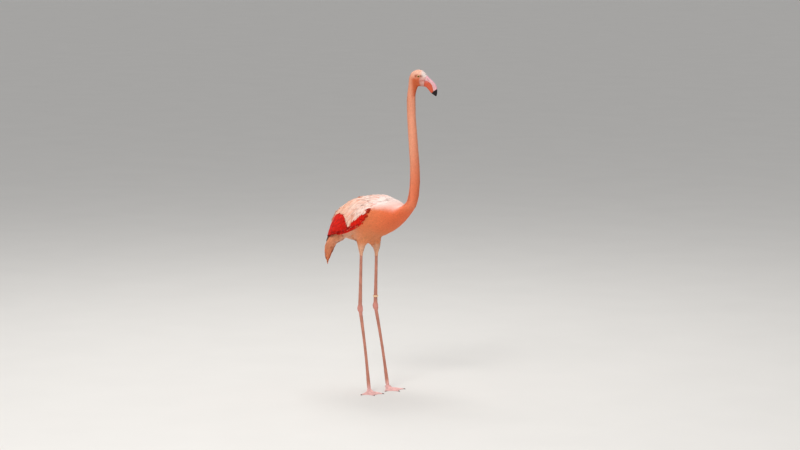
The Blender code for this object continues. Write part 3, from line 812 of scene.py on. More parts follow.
def is_body(points):
    """Neck, trunk, wings, tail and thighs: all that is neither head nor bare leg.

    Behind the thighs the wings and the tail hang lower than the thighs reach.
    """
    return (points[:, 2] < HEAD_LOW) & ((points[:, 2] > max(THIGH_END.values()))
                                        | (points[:, 0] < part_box("thigh_right")[0].x))


def soften(skin):
    """Round off the steps between the solids, strongly on the body and lightly elsewhere."""
    points = vertex_array(skin.data)
    edges = edge_array(skin.data)
    softness = spread(is_body(points).astype(float), edges, 6)[:, None]
    light = spread(points, edges, 2)
    heel = (ease(points[:, 2], 0.008, 0.014) * (1 - ease(points[:, 2], 0.026, 0.045)))[:, None]
    light = light + heel * (spread(light, edges, 9) - light)
    strong = spread(light, edges, 8)
    set_points(skin.data, light + softness * (strong - light))


def thin_out(skin):
    """Fewer, larger faces where plumage will cover the skin."""
    points = vertex_array(skin.data)
    plain = is_body(points)
    legs = ~plain & (points[:, 2] > ANKLE["left"][2] * 0.1) & (points[:, 2] < HEAD_LOW)
    group = skin.vertex_groups.new(name="plain")
    # Bare legs lose some of their faces, the head and the toes none
    for rows, weight in ((plain, 1.0), (legs, 0.25)):
        group.add(np.flatnonzero(rows).tolist(), weight, "REPLACE")
    apply_modifier(skin, "DECIMATE", ratio=0.16,
                   vertex_group="plain", vertex_group_factor=1.0)
    skin.vertex_groups.clear()


def refine_face(skin):
    """Smaller faces round the eyes, in ever tighter rings."""
    reach = EYE_RADIUS * 1.55
    for _ in range(3):
        mesh = skin.data
        points = vertex_array(mesh)
        close = np.zeros(len(points), bool)
        for side in SIDES:
            close |= np.linalg.norm(points - EYES[side], axis=1) < reach
        make_active(skin)
        bpy.ops.object.mode_set(mode="EDIT")
        bpy.ops.mesh.select_mode(type="EDGE")
        bpy.ops.mesh.select_all(action="DESELECT")
        bpy.ops.object.mode_set(mode="OBJECT")
        mesh.edges.foreach_set("select", close[edge_array(mesh)].all(1))
        bpy.ops.object.mode_set(mode="EDIT")
        bpy.ops.mesh.subdivide(number_cuts=1, smoothness=0.0)
        bpy.ops.object.mode_set(mode="OBJECT")
        reach *= 0.9


# ---------------------------------------------------------------- the lie of the plumage

REARWARD = np.array((-1.0, 0.0, -0.22))
DRAPED = np.array((-0.62, 0.0, -0.80))      # how the pale feathers of the back hang


def wing_lie(points):
    """Way of the vanes on a folded wing: coverts to its tip, and scapulars draped over them."""
    x = points[:, 0]
    over = over_scapulars(points)
    wing_end = np.stack([np.full(len(points), WING_END[0] - 0.09),
                         BODY_MID + np.sign(points[:, 1] - BODY_MID) * WING_END[1],
                         np.full(len(points), WING_END[2] - 0.06)], 1)
    to_end = unit(wing_end - points) + np.array((0.0, 0.0, -0.22))
    low = ease(over, 0.060, 0.008)[:, None] * ease(x, -0.16, -0.09)[:, None]
    drape = DRAPED + low * np.array((0.50, 0.0, -0.16))
    over_back = ease(over, -0.004, 0.004)[:, None]
    front = ease(x, -0.02, 0.08)[:, None]
    return to_end * (1 - over_back) + (drape * (1 - front) + REARWARD * front) * over_back


def lie(points, kinds):
    """Which way the vanes point: back over the head, down the neck, to the rear on the body."""
    ahead, _, _ = head_axes(points)
    down = ease(ahead, 0.012, -0.022)[:, None]
    turn = ease(points[:, 2], NECK_FOOT - 0.035, NECK_FOOT + 0.035)[:, None]
    ways = {"head": -HEAD_AHEAD * (1 - down) - UP * (down + 0.15),
            "neck": -UP + np.array((0.05, 0, 0)),
            "trunk": REARWARD * (1 - turn) - UP * turn,
            "wing": wing_lie(points),
            "tail": unit(TAIL_TIP + np.array((-0.10, 0.0, -0.40)) - points),
            "thigh": -UP}
    flow = np.zeros_like(points)
    for kind, way in ways.items():
        flow = np.where(of_kind(kinds, kind)[:, None], way, flow)
    return flow


def along_skin(flow, normals):
    """A flow with the part that would leave the skin taken out."""
    return unit(flow - normals * dots(flow, normals))


def spaced_apart(spots, gaps):
    """Which spots to keep, in turn, so that each has its gap free of all later ones."""
    tree = KDTree(len(spots))
    for index, spot in enumerate(spots.tolist()):
        tree.insert(spot, index)
    tree.balance()
    free = np.ones(len(spots), bool)
    kept = []
    for index, spot in enumerate(spots.tolist()):
        if free[index]:
            kept.append(index)
            for _, other, _ in tree.find_range(spot, gaps[index]):
                free[other] = False
    return np.array(kept)


class Coat:
    """What every tract of plumage needs to know of the skin."""

    def __init__(self, skin):
        mesh = skin.data
        points = vertex_array(mesh)
        triangles = triangle_array(mesh)
        self.search = SearchTree(points, triangles, vertex_array(mesh, "normal"))
        corners = points[triangles]
        self.centres = corners.mean(1)
        across = np.cross(corners[:, 1] - corners[:, 0], corners[:, 2] - corners[:, 0])
        self.areas = np.linalg.norm(across, axis=1) / 2
        parts = np.empty(len(points), np.int32)
        mesh.attributes["Part"].data.foreach_get("value", parts)
        self.kinds = parts[triangles[:, 0]]
        # 1 where a face looks away from the bird's middle, -1 where it looks towards it
        self.facing = (across[:, 1] / (2 * self.areas + TINY_AREA)
                       * np.sign(self.centres[:, 1] - BODY_MID))

    def rows_of(self, kind):
        """Which faces belong to one part of the bird."""
        return of_kind(self.kinds, kind)

    def scatter(self, chosen, spacing, seed):
        """Roots spread evenly over the chosen faces. The spacing may vary with the place."""
        rng = np.random.default_rng(seed)
        faces = np.flatnonzero(chosen)
        want = self.areas[faces] / spacing(self.centres[faces]) ** 2
        tries = int(want.sum() * 5) + 10
        picks = faces[rng.choice(len(faces), tries, p=want / want.sum())]
        u, v = rng.random((2, len(picks)))
        fold = u + v > 1
        u, v = np.where(fold, 1 - u, u), np.where(fold, 1 - v, v)
        a, b, c = (self.search.points[self.search.triangles[picks, k]] for k in range(3))
        spots = a + (b - a) * u[:, None] + (c - a) * v[:, None]
        kept = spaced_apart(spots, spacing(spots))
        roots, parts = spots[kept], self.kinds[picks[kept]]
        normals = self.search.smooth_normals(roots, picks[kept])
        # Nothing grows where the skin looks along the lie, as at the end of the tail
        along = dots(normals, unit(lie(roots, parts)))[:, 0]
        grows = along < np.where(of_kind(parts, "tail"), 0.55, 0.80)
        return roots[grows], normals[grows], parts[grows]

    def walk(self, roots, normals, kinds, lengths, stops, turn, parts=1):
        """Centre lines of vanes that run over the skin from their roots, and the normals there."""
        flow = along_skin(lie(roots, kinds), normals)
        side = np.cross(normals, flow)
        flow = flow * np.cos(turn)[:, None] + side * np.sin(turn)[:, None]
        line, ups, spot, up = [roots], [normals], roots, normals
        for before, after in zip(stops, stops[1:]):
            step = lengths * (after - before) / parts
            for _ in range(parts):
                ahead = spot + flow * step[:, None]
                under, found, _ = self.search.nearest(ahead)
                # Where the skin falls away, a vane runs straight on over the gap
                gap = np.linalg.norm(under - ahead, axis=1)
                off = (gap > np.maximum(step * 0.45, 0.0010))[:, None]
                spot = np.where(off, ahead, under)
                up = np.where(off, up, found)
                flow = along_skin(flow, up)
            line.append(spot)
            ups.append(up)
        return np.stack(line, 1), np.stack(ups, 1)


ROOT_UNDER = -0.0003    # small vanes are rooted this deep in the skin
ROOT_OVER = 0.0002      # long vanes lie on it from their roots
LONG_THICK = 0.0005     # a long vane at its shaft
TIP_OFF = 0.006         # a long vane whose tip stands further off the skin is left out
TIP_OFF_NARROW = 0.003  # and this where the vanes narrow towards the tail's tip
PATCH = 0.003           # size of one vane on the flat map
MAP_EDGE = 0.02         # free margin of the flat map
# Vane outlines: where its rows lie along it, and how wide it is there
ROUND_3 = ((0.0, 0.0), (0.30, 0.80), (0.76, 0.86), (1.0, 0.0))
ROUND_4 = ((0.0, 0.0), (0.20, 0.62), (0.55, 1.0), (0.88, 0.66), (1.0, 0.0))
LANCE_8 = ((0.0, 0.0), (0.10, 0.45), (0.25, 0.85), (0.42, 1.0), (0.60, 0.92), (0.76, 0.72),
           (0.89, 0.42), (0.96, 0.20), (1.0, 0.0))
# Sections: across (-1 to 1) and up, in turn round the vane
THIN_SECTION = ((-1.0, 0.0), (0.0, 1.0), (1.0, 0.0), (0.0, -1.0))
BROAD_SECTION = ((-1.0, -0.9), (-0.5, 0.45), (0.0, 1.0), (0.5, 0.45), (1.0, -0.9), (0.0, -0.6))


def unwrap(points, kinds):
    """Places on a flat map of the skin: along the bird, and round the part it belongs to."""
    axis_z = np.interp(points[:, 0], (-0.29, -0.20, 0.0, 0.17), (0.60, 0.69, 0.75, 0.81))
    angle = np.arctan2(points[:, 1] - BODY_MID, points[:, 2] - axis_z) / TWO_PI + 0.5
    place = np.stack([points[:, 0], angle], 1)
    neck_x = box_centre("neck_middle")[0]
    turned = np.arctan2(points[:, 1] - BODY_MID, points[:, 0] - neck_x) / TWO_PI + 0.5
    place = np.where(of_kind(kinds, "neck", "head")[:, None],
                     np.stack([points[:, 2], turned], 1), place)
    for side in SIDES:
        own = of_kind(kinds, "thigh", "leg") & on_side(points, side)
        centre = box_centre("thigh_" + side)
        bend = np.arctan2(points[:, 1] - centre[1], points[:, 0] - centre[0]) / TWO_PI + 0.5
        both = np.stack([points[:, 2], bend / 2 + (0.5 if side == "left" else 0.0)], 1)
        place = np.where(own[:, None], both, place)
    low, high = place.min(0), place.max(0)
    return MAP_EDGE + (1.0 - 2 * MAP_EDGE) * (place - low) / np.maximum(high - low, TINY)


def vane_corners(sides, mids):
    """Triangles of one closed vane: a point at each end, and rings of sides between them."""
    last = 1 + sides * mids
    faces = []
    for k in range(sides):
        n = (k + 1) % sides
        faces.append((0, 1 + n, 1 + k))
        end = last - sides
        faces.append((last, end + k, end + n))
        for row in range(mids - 1):
            p, q = 1 + row * sides, 1 + (row + 1) * sides
            faces.append((p + k, p + n, q + n))
            faces.append((p + k, q + n, q + k))
    return np.array(faces)


def triangle_mesh(name, points, corners):
    """A mesh from arrays of points and of triangles."""
    mesh = bpy.data.meshes.new(name)
    mesh.vertices.add(len(points))
    mesh.vertices.foreach_set("co", points.astype(np.float32).ravel())
    mesh.loops.add(len(corners) * 3)
    mesh.loops.foreach_set("vertex_index", corners.astype(np.int32).ravel())
    mesh.polygons.add(len(corners))
    mesh.polygons.foreach_set("loop_start", np.arange(0, len(corners) * 3, 3, dtype=np.int32))
    mesh.update(calc_edges=True)
    return mesh


def build_vanes(name, lines, ups, widths, heights, thick, outline, section, tint, kinds,
                arch=0.07, edge_light=0.06, tip_light=0.05, seed=1, ragged=0.0):
    """Solid vanes as one mesh, from their centre lines, with tint, flat map and vane map."""
    rng = np.random.default_rng(seed)
    count, rows = lines.shape[:2]
    across = unit(np.cross(unit(np.gradient(lines, axis=1)), ups))
    places, wide = (np.array(column) for column in zip(*outline))
    b, h = (np.array(column) for column in zip(*section))
    # A vane leaves the skin steeply, then flattens and droops a little at its tip
    lift = heights[0][:, None] + (heights[1] - heights[0])[:, None] * (
        1.0 - (1.0 - places[None, :]) ** 1.5) * (1.0 - 0.10 * places[None, :] ** 3)
    spine = lines + ups * lift[..., None]
    half = widths[:, None] / 2 * wide[None, :]
    half = half * (1.0 + ragged * rng.normal(size=(count, rows)))
    inner = slice(1, rows - 1)
    ring = half[:, inner, None]
    body = (spine[:, inner, None, :] + across[:, inner, None, :] * (ring * b)[..., None]
            + ups[:, inner, None, :] * (thick / 2 * h - arch * ring * b ** 2)[..., None])
    sides, mids = len(section), rows - 2
    points = np.concatenate([spine[:, :1], body.reshape(count, mids * sides, 3),
                             spine[:, -1:]], 1)
    each = points.shape[1]
    corners = (vane_corners(sides, mids)[None]
               + (np.arange(count) * each)[:, None, None]).reshape(-1, 3)
    mesh = triangle_mesh(name, points.reshape(-1, 3), corners)
    flat = np.zeros((each, 2))
    flat[-1] = (0, 1)
    flat[1:-1] = np.stack([np.tile(b, mids), np.repeat(places[inner], sides)], 1)
    # The rims are sharp, so that the face of a vane is shaded as flat as it is
    rim = np.abs(flat[:, 0]) == 1.0
    rim[[0, -1]] = True
    layer = mesh.attributes.new("sharp_edge", "BOOLEAN", "EDGE")
    layer.data.foreach_set("value", rim[edge_array(mesh) % each].all(1))
    light = 1.0 + edge_light * (np.abs(flat[:, 0]) - 0.5) + tip_light * (flat[:, 1] - 0.5) * 2
    set_tint(mesh, (tint[:, None, :] * light[None, :, None]).reshape(-1, 3))
    base = unwrap(lines[:, 0], kinds)
    patch = base[:, None, :] + PATCH * (flat[None] * (0.5, 1.0) - (0.0, 0.5))
    for layer_name, uv in (("OFBake", patch.reshape(-1, 2)), ("Vane", np.tile(flat, (count, 1)))):
        layer = mesh.uv_layers.new(name=layer_name)
        layer.uv.foreach_set("vector", uv[corners.ravel()].astype(np.float32).ravel())
    mesh.uv_layers.active = mesh.uv_layers["OFBake"]
    return new_object(name, mesh)


COAT = {}               # holds the skin's search data once it is made


def coat():
    """The skin's search data, made once."""
    if "coat" not in COAT:
        COAT["coat"] = Coat(bpy.data.objects["skin"])
    return COAT["coat"]


def random_share(rng, count, spread_by):
    """Random factors round 1."""
    return 1.0 + rng.uniform(-spread_by, spread_by, count)


def lit(tint, rng, amount):
    """Tints made a little lighter or darker, each by a normal draw."""
    return tint * (1.0 + amount * rng.normal(size=(len(tint), 1)))


def even(value):
    """A size that is the same at every place."""
    return lambda spots: np.full(len(spots), value)


def graded(start, change, axis, low, high):
    """A size that changes along an axis of the bird, from low to high."""
    return lambda spots: start + change * ease(spots[:, axis], low, high)


def times(size, factor):
    """A size at every place, times a factor."""
    return lambda spots: size(spots) * factor


def finish_feathers(made, slot):
    """Contour feathers are all of one material."""
    return finish_piece(made, slot,
                        shared_material("contour_feather_keratin", contour_feather_material))


def small_tract(name, chosen, spacing, length, width, depth, outline, slot, seed,
                thick=0.00022, keep=None, lightness=0.05):
    """A tract of small contour vanes. Sizes are functions of the place.
    """
    rng = np.random.default_rng(seed)
    fewer, longer, wider = ((1.0, 1.0, 1.0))
    roots, normals, kinds = coat().scatter(chosen, times(spacing, fewer), seed)
    if keep is not None:
        rows = keep(roots)
        roots, normals, kinds = roots[rows], normals[rows], kinds[rows]
    count = len(roots)
    lengths = length(roots) * random_share(rng, count, 0.15) * longer
    widths = width(roots) * random_share(rng, count, 0.12) * wider
    top = depth(roots) * random_share(rng, count, 0.18)
    stops = [place for place, _ in outline]
    lines, ups = coat().walk(roots, normals, kinds, lengths, stops,
                             rng.normal(0.0, 0.10, count))
    made = build_vanes(name, lines, ups, widths, (np.full(count, ROOT_UNDER), top), thick,
                       outline, THIN_SECTION, lit(paint(roots, kinds), rng, lightness), kinds,
                       seed=seed)
    return finish_feathers(made, slot)


def reach_inside(roots, normals, kinds, longest, inside, steps=14):
    """How far each vane can run before it leaves an area."""
    stops = np.linspace(0.0, 1.0, steps + 1)
    lines, _ = coat().walk(roots, normals, kinds, np.full(len(roots), longest), stops,
                           np.zeros(len(roots)), parts=3)
    flags = np.stack([inside(lines[:, k]) for k in range(1, steps + 1)], 1)
    return np.cumprod(flags, 1).sum(1) / steps * longest


def long_tract(name, chosen, spacing, longest, shortest, slim, depth, inside, slot, seed,
               tint_of, ragged=0.05, arch=0.12, spare=0.0, uneven=0.04, narrow=None):
    """A tract of long vanes that end together at the edge of an area.

    Longest and narrow are functions of the place, inside says whether places are in the area,
    and tint_of gives the vanes' colours.
    """
    rng = np.random.default_rng(seed)
    gap = spacing * 1.0
    roots, normals, kinds = coat().scatter(chosen, even(gap), seed)
    full = longest(roots)
    room = reach_inside(roots, normals, kinds, float(full.max()), inside) + spare
    lengths = np.minimum(full, room) * (1.0 - uneven * rng.random(len(roots)))
    rows = lengths > shortest
    roots, normals, kinds, lengths = roots[rows], normals[rows], kinds[rows], lengths[rows]
    count = len(roots)
    widths = np.maximum(lengths * slim, gap * 1.5) * random_share(rng, count, 0.12)
    if narrow is not None:
        widths = widths * narrow(roots)
    stops = [place for place, _ in LANCE_8]
    lines, ups = coat().walk(roots, normals, kinds, lengths, stops, rng.normal(0, 0.05, count),
                             parts=3)
    # Vanes that would stand off into the air, or turn out of their area, are left out
    tips, _, _ = coat().search.nearest(lines[:, -1])
    most = TIP_OFF if narrow is None else TIP_OFF_NARROW
    rows = np.linalg.norm(tips - lines[:, -1], axis=1) < most
    rows &= inside(lines[:, len(stops) // 2 + 1])
    lines, ups, roots, kinds, widths = (a[rows] for a in (lines, ups, roots, kinds, widths))
    count = len(roots)
    top = depth * random_share(rng, count, 0.15)
    if narrow is not None:
        top = top * narrow(roots) ** 1.5
    made = build_vanes(name, lines, ups, widths, (np.full(count, ROOT_OVER), top), LONG_THICK,
                       LANCE_8, BROAD_SECTION, tint_of(roots, rng), kinds, arch=arch,
                       edge_light=0.10, tip_light=0.04, seed=seed, ragged=ragged)
    return finish_feathers(made, slot)


# ---------------------------------------------------------------- operators

DONE = {"FINISHED"}


class FLAMINGO_OT_skin(bpy.types.Operator):
    """Lay one skin through head, neck, trunk, wings, tail, legs and feet"""
    bl_idname = "flamingo.skin"
    bl_label = "Skin"

    def execute(self, context):
        make_skin()
        return DONE


def off_the_face(spots):
    """Where the head is feathered: not on the lids, nor on the bare lores and chin."""
    ahead, _, up = head_axes(spots)
    clear = np.ones(len(spots), bool)
    ring = EYE_RADIUS * 1.28 + 0.0034 * ease(ahead, 0.0, 0.006)
    for side in SIDES:
        clear &= np.linalg.norm(spots - EYES[side], axis=1) > ring
    bare = (ahead > 0.012) & (up < 0.003) & (up > -0.030)
    chin = (ahead > 0.021) & (up < -0.028)
    return clear & ~chin & ~(bare & (ahead + 0.25 * up > 0.0105))


def fine_at_bill(spots):
    """How much smaller the vanes are towards the bill."""
    return 1.0 - 0.35 * ease(head_axes(spots)[0], -0.010, 0.020)


class FLAMINGO_OT_head_plumage(bpy.types.Operator):
    """Root the smallest vanes on the head, clear of eyes and lores"""
    bl_idname = "flamingo.head_plumage"
    bl_label = "Head plumage"

    def execute(self, context):
        s = sizes()
        small_tract("plumage_head", coat().rows_of("head"),
                    spacing=lambda spots: s.head_spacing * fine_at_bill(spots),
                    length=lambda spots: 0.0052 * fine_at_bill(spots),
                    width=lambda spots: 0.0017 * fine_at_bill(spots),
                    depth=lambda spots: s.head_depth * (0.45 + 0.55 * fine_at_bill(spots)),
                    outline=ROUND_3, slot="plumage_pale", seed=11, thick=0.00014,
                    keep=off_the_face)
        return DONE


class FLAMINGO_OT_neck_plumage(bpy.types.Operator):
    """Root short overlapping vanes down the neck"""
    bl_idname = "flamingo.neck_plumage"
    bl_label = "Neck plumage"

    def execute(self, context):
        s = sizes()
        small_tract("plumage_neck", coat().rows_of("neck"), spacing=even(s.neck_spacing),
                    length=graded(0.0105, -0.0035, Z, 1.15, 1.28),
                    width=graded(0.0029, -0.0008, Z, 1.15, 1.28),
                    depth=even(s.neck_depth * 0.85), outline=ROUND_3,
                    slot="plumage_salmon", seed=12, thick=0.00016)
        return DONE


class FLAMINGO_OT_body_plumage(bpy.types.Operator):
    """Root contour vanes on breast, flanks, belly and shoulders"""
    bl_idname = "flamingo.body_plumage"
    bl_label = "Body plumage"

    def execute(self, context):
        s = sizes()
        centres = coat().centres
        x = centres[:, 0]
        trunk = coat().rows_of("trunk")
        shoulder = coat().rows_of("wing") & (
            (x > SHOULDER_FRONT) | ((x > SHOULDER_REAR) & (over_scapulars(centres) > 0.013)))
        depth = graded(0.45, 0.25, X, 0.15, 0.05)
        spacing = graded(0.80, 0.30, X, 0.14, -0.02)
        for name, chosen, seed in (("breast", (trunk & (x > WING_FRONT)) | shoulder, 13),
                                   ("flanks", trunk & ~(x > WING_FRONT), 14)):
            small_tract("plumage_" + name, chosen, spacing=times(spacing, s.body_spacing),
                        length=graded(0.0120, 0.0110, X, 0.14, -0.02),
                        width=graded(0.0045, 0.0030, X, 0.14, -0.02),
                        depth=times(depth, s.body_depth), outline=ROUND_4,
                        slot="plumage_salmon", seed=seed, lightness=0.035)
        return DONE


class FLAMINGO_OT_thigh_plumage(bpy.types.Operator):
    """Root vanes down the thighs, out over the top of the bare shank"""
    bl_idname = "flamingo.thigh_plumage"
    bl_label = "Thigh plumage"

    def execute(self, context):
        small_tract("plumage_thighs", coat().rows_of("thigh"), spacing=even(0.0027),
                    length=graded(0.0110, 0.0060, Z, 0.60, 0.64), width=even(0.0042),
                    depth=times(graded(0.35, 0.65, Z, 0.60, 0.63), sizes().thigh_depth),
                    outline=ROUND_4, slot="plumage_pale", seed=15)
        return DONE


def red_tint(spots, rng):
    """Coverts: red, with painted shade of deep brown-orange at the bend of the wing."""
    c = colours()
    # Painted shade: the coverts at the bend of the wing are darkened towards a deep brown-orange
    tint = mix(c.coverts, np.array(c.cheek) * 0.35, 0.6 * ease(spots[:, 0], 0.010, 0.040))
    return tint * (1.0 + 0.15 * rng.normal(size=(len(spots), 1))).clip(0.5, 1.6)


def black_tint(spots, rng):
    """Quills: black, each a little different."""
    return np.array(colours().quills) * random_share(rng, len(spots), 0.25)[:, None]


def pale_tint(spots, rng):
    """Scapulars: pale, some warmer, and a few in shade."""
    c = colours()
    tint = mix(c.scapular, c.back, ease(spots[:, 0], -0.12, 0.05) * 0.8)
    warm = rng.random(len(spots)) ** 2.5 * 0.65
    shade = 1.0 - 0.16 * (rng.random((len(spots), 1)) > 0.84)
    return lit(mix(tint, c.flank, warm) * shade, rng, 0.05)


def over_quills(spots):
    """The area of the red coverts."""
    return (over_flank_line(spots) > -0.002) & (spots[:, 2] > COVERTS_END)


def over_tips(spots):
    """The area of the quills' tips."""
    return spots[:, 2] > QUILLS_END


def on_back(spots):
    """The area of the pale scapulars."""
    return (over_scapulars(spots) > 0.0) & (spots[:, 2] > SCAPULARS_END)


class FLAMINGO_OT_wing_plumage(bpy.types.Operator):
    """Lay red coverts on the folded wings, long scapulars over them, and the quill tips"""
    bl_idname = "flamingo.wing_plumage"
    bl_label = "Wing plumage"

    def execute(self, context):
        s = sizes()
        centres, facing = coat().centres, coat().facing
        x, over = centres[:, 0], over_scapulars(centres)
        wing = coat().rows_of("wing") & (x < WING_FRONT) & (facing > -0.30)
        covert_roots = (x < 0.044) & (over < 0.002 + 0.022 * ease(x, 0.02, -0.05))
        quill_roots = (x < -0.232) & (centres[:, 2] < 0.668) & (facing > 0.25)
        for index, side in enumerate(SIDES):
            own = wing & on_side(centres, side)
            long_tract("coverts_" + side, own & covert_roots, spacing=s.wing_spacing,
                       longest=graded(0.030, 0.020, X, 0.0, -0.2), shortest=0.010, slim=0.24,
                       depth=s.body_depth, inside=over_quills, slot="plumage_salmon",
                       seed=21 + index, tint_of=red_tint)
            long_tract("quills_" + side, own & quill_roots, spacing=s.wing_spacing * 0.8,
                       longest=even(0.040), shortest=0.010, slim=0.16,
                       depth=s.body_depth * 1.2, inside=over_tips, slot="plumage_salmon",
                       seed=41 + index, tint_of=black_tint, spare=0.006)
            long_tract("scapulars_" + side, own & (over > 0.0), spacing=s.wing_spacing * 0.9,
                       longest=graded(0.050, 0.045, X, 0.03, -0.08), shortest=0.020, slim=0.17,
                       depth=s.body_depth * 1.25, inside=on_back, slot="plumage_pale",
                       seed=31 + index, tint_of=pale_tint, ragged=0.07, arch=0.16, uneven=0.12)
        return DONE


def tail_tint(spots, rng):
    """Tail feathers: some are deeper salmon towards the tip."""
    deep = rng.random(len(spots)) * 0.5 * ease(spots[:, 2], 0.64, 0.56)
    return lit(mix(tail_colour(spots), colours().breast, deep), rng, 0.06)


class FLAMINGO_OT_tail_plumage(bpy.types.Operator):
    """Hang the tail's feathers down to its tip"""
    bl_idname = "flamingo.tail_plumage"
    bl_label = "Tail plumage"

    def execute(self, context):
        tip = TAIL_TIP[2]
        roots = coat().rows_of("tail") & (coat().centres[:, 2] > tip + 0.024)
        long_tract("tail_feathers", roots, spacing=0.0065,
                   longest=graded(0.040, 0.030, Z, 0.66, 0.60), shortest=0.006, slim=0.20,
                   depth=sizes().tail_depth * 0.9, inside=lambda spots: spots[:, 2] > tip + 0.004,
                   slot="plumage_salmon", seed=51, tint_of=tail_tint,
                   narrow=graded(0.30, 0.70, Z, tip + 0.020, tip + 0.100))
        return DONE


NOSTRIL = ((0.0365, -0.0085), (0.0480, -0.0190))        # ahead of and above the eyes
BLACK_FROM = (0.0776, -0.0520)      # a point on the black edge, ahead of and above the eyes
BLACK_ALONG = (-0.80, -0.60)        # its direction, seen from the side


def bill_tint(points, upper):
    """Pink or orange horn that ends in black, duller at the sides, with dark nostrils."""
    c = colours()
    ahead, out, up = head_axes(points)
    across = ((ahead - BLACK_FROM[0]) * BLACK_ALONG[1] - (up - BLACK_FROM[1]) * BLACK_ALONG[0])
    edge = 0.0012 * mottle(points, 0.006, 5) - across
    if upper:
        base = mix(c.bill_pink, c.lore, 0.55 * ease(out, 0.004, 0.011))
        base = mix(base, c.bill_black, groove_share(ahead, out, up, NOSTRIL, 0.0006))
    else:
        base = mix(c.bill_orange, c.bill_pink, 0.18 * ease(up, -0.030, -0.020))
    return mix(base, c.bill_black, ease(edge, -0.0012, 0.0012))


class FLAMINGO_OT_bill(bpy.types.Operator):
    """Smooth the two halves of the bill, cut the nostrils and colour the horn"""
    bl_idname = "flamingo.bill"
    bl_label = "Bill"

    def execute(self, context):
        for half, slot in (("upper", "bill_horn_pink"), ("lower", "bill_horn_orange")):
            bill = welded_copy("horn_" + half, ["bill_" + half])
            apply_modifier(bill, "REMESH", mode="VOXEL", voxel_size=0.0006)
            points = spread(vertex_array(bill.data), edge_array(bill.data), 8)
            set_points(bill.data, points)
            if half == "upper":
                normals = vertex_array(bill.data, "normal")
                set_points(bill.data, press_crease(points, normals, NOSTRIL,
                                                   width=0.0009, depth=0.0011))
            apply_modifier(bill, "DECIMATE", ratio=0.6)
            set_tint(bill.data, bill_tint(vertex_array(bill.data), half == "upper"))
            finish_piece(bill, slot, shared_material("bill_horn", horn_material, "bill_horn",
                                                     0.38, 260.0), ["bill_" + half])
        return DONE


PUPIL_SHARE = 0.40      # of the eye's radius
PUPIL_EDGE = 0.03       # half width of its soft edge, as a share too


def turned_to(axis):
    """Rotation that takes +Z to an axis."""
    return Vector((0, 0, 1)).rotation_difference(axis).to_matrix().to_4x4()


class FLAMINGO_OT_eyes(bpy.types.Operator):
    """Turn out both eyeballs, with a clear bulge over iris and pupil"""
    bl_idname = "flamingo.eyes"
    bl_label = "Eyes"

    def execute(self, context):
        s, c = sizes(), colours()
        for side in SIDES:
            axis = Vector(eye_axis(side))
            bpy.ops.object.select_all(action="DESELECT")
            bpy.ops.mesh.primitive_uv_sphere_add(segments=48, ring_count=32, radius=EYE_RADIUS)
            eye = bpy.context.active_object
            eye.name = "eyeball_" + side
            mesh = eye.data
            mesh.transform(turned_to(axis))
            points = vertex_array(mesh)
            share = points @ np.array(axis) / EYE_RADIUS
            off = np.sqrt(np.clip(1 - share ** 2, 0, 1))
            points *= (1.0 + s.eye_bulge / EYE_RADIUS * ease(share, 0.72, 0.95))[:, None]
            set_points(mesh, points + EYES[side])
            tint = mix(c.iris, np.array(c.iris) * 0.35, ease(off, 0.68, 0.78))
            outside = ease(off, PUPIL_SHARE - PUPIL_EDGE, PUPIL_SHARE + PUPIL_EDGE)
            tint = mix(tint, linear("0A0807"), (share > 0) * (1 - outside))
            set_tint(mesh, tint)
            finish_piece(eye, "eye", shared_material("wet_cornea_over_iris", eye_material),
                         ["eye_" + side])
        return DONE


CLAW_SET = 0.0014       # how far a claw is let into the end of its toe
BAND_WALL = 0.0010


class FLAMINGO_OT_claws(bpy.types.Operator):
    """Round off every claw"""
    bl_idname = "flamingo.claws"
    bl_label = "Claws"

    def execute(self, context):
        names = sorted(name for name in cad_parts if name.startswith("claw_"))
        horn = shared_material("claw_horn", horn_material, "claw_horn", 0.45, 900.0)
        for name in names:
            claw = welded_copy("horn_" + name, [name])
            apply_modifier(claw, "SUBSURF", levels=2, render_levels=2)
            points = vertex_array(claw.data)
            low, high = (np.array(corner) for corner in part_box(name))
            share = (points - points.min(0)) / np.maximum(np.ptp(points, axis=0), TINY)
            to_toe = unit((box_centre("foot_" + name.split("_")[1]) - (low + high) / 2)
                          * np.array((1.0, 1.0, 0.0)))
            points = low + share * (high - low) + to_toe * CLAW_SET
            set_points(claw.data, points)
            pale = mottle(points, 0.004, 7) * 0.25 + 1.0
            set_tint(claw.data, np.array(linear("4A3430")) * pale[:, None])
            finish_piece(claw, "claw_horn", horn, [name])
        return DONE


class FLAMINGO_OT_leg_band(bpy.types.Operator):
    """Bend a plain moulded band round the shank"""
    bl_idname = "flamingo.leg_band"
    bl_label = "Leg band"

    def execute(self, context):
        low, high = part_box("leg_ring")
        centre, size = (low + high) / 2, high - low
        bpy.ops.object.select_all(action="DESELECT")
        bpy.ops.mesh.primitive_cylinder_add(vertices=72, radius=size.x / 2, depth=size.z,
                                            end_fill_type="NOTHING", location=centre)
        band = bpy.context.active_object
        band.name = "band_left_shank"
        bpy.ops.object.transform_apply(location=True, rotation=True, scale=True)
        apply_modifier(band, "SOLIDIFY", thickness=BAND_WALL, offset=-1.0)
        apply_modifier(band, "BEVEL", width=0.0003, segments=3, limit_method="ANGLE",
                       angle_limit=math.radians(40.0))
        light = 1.0 + 0.05 * mottle(vertex_array(band.data), 0.008, 9)
        set_tint(band.data, np.array(colours().band) * light[:, None])
        finish_piece(band, "ring_plastic", shared_material("moulded_acetal_band", band_material),
                     ["leg_ring"])
        return DONE


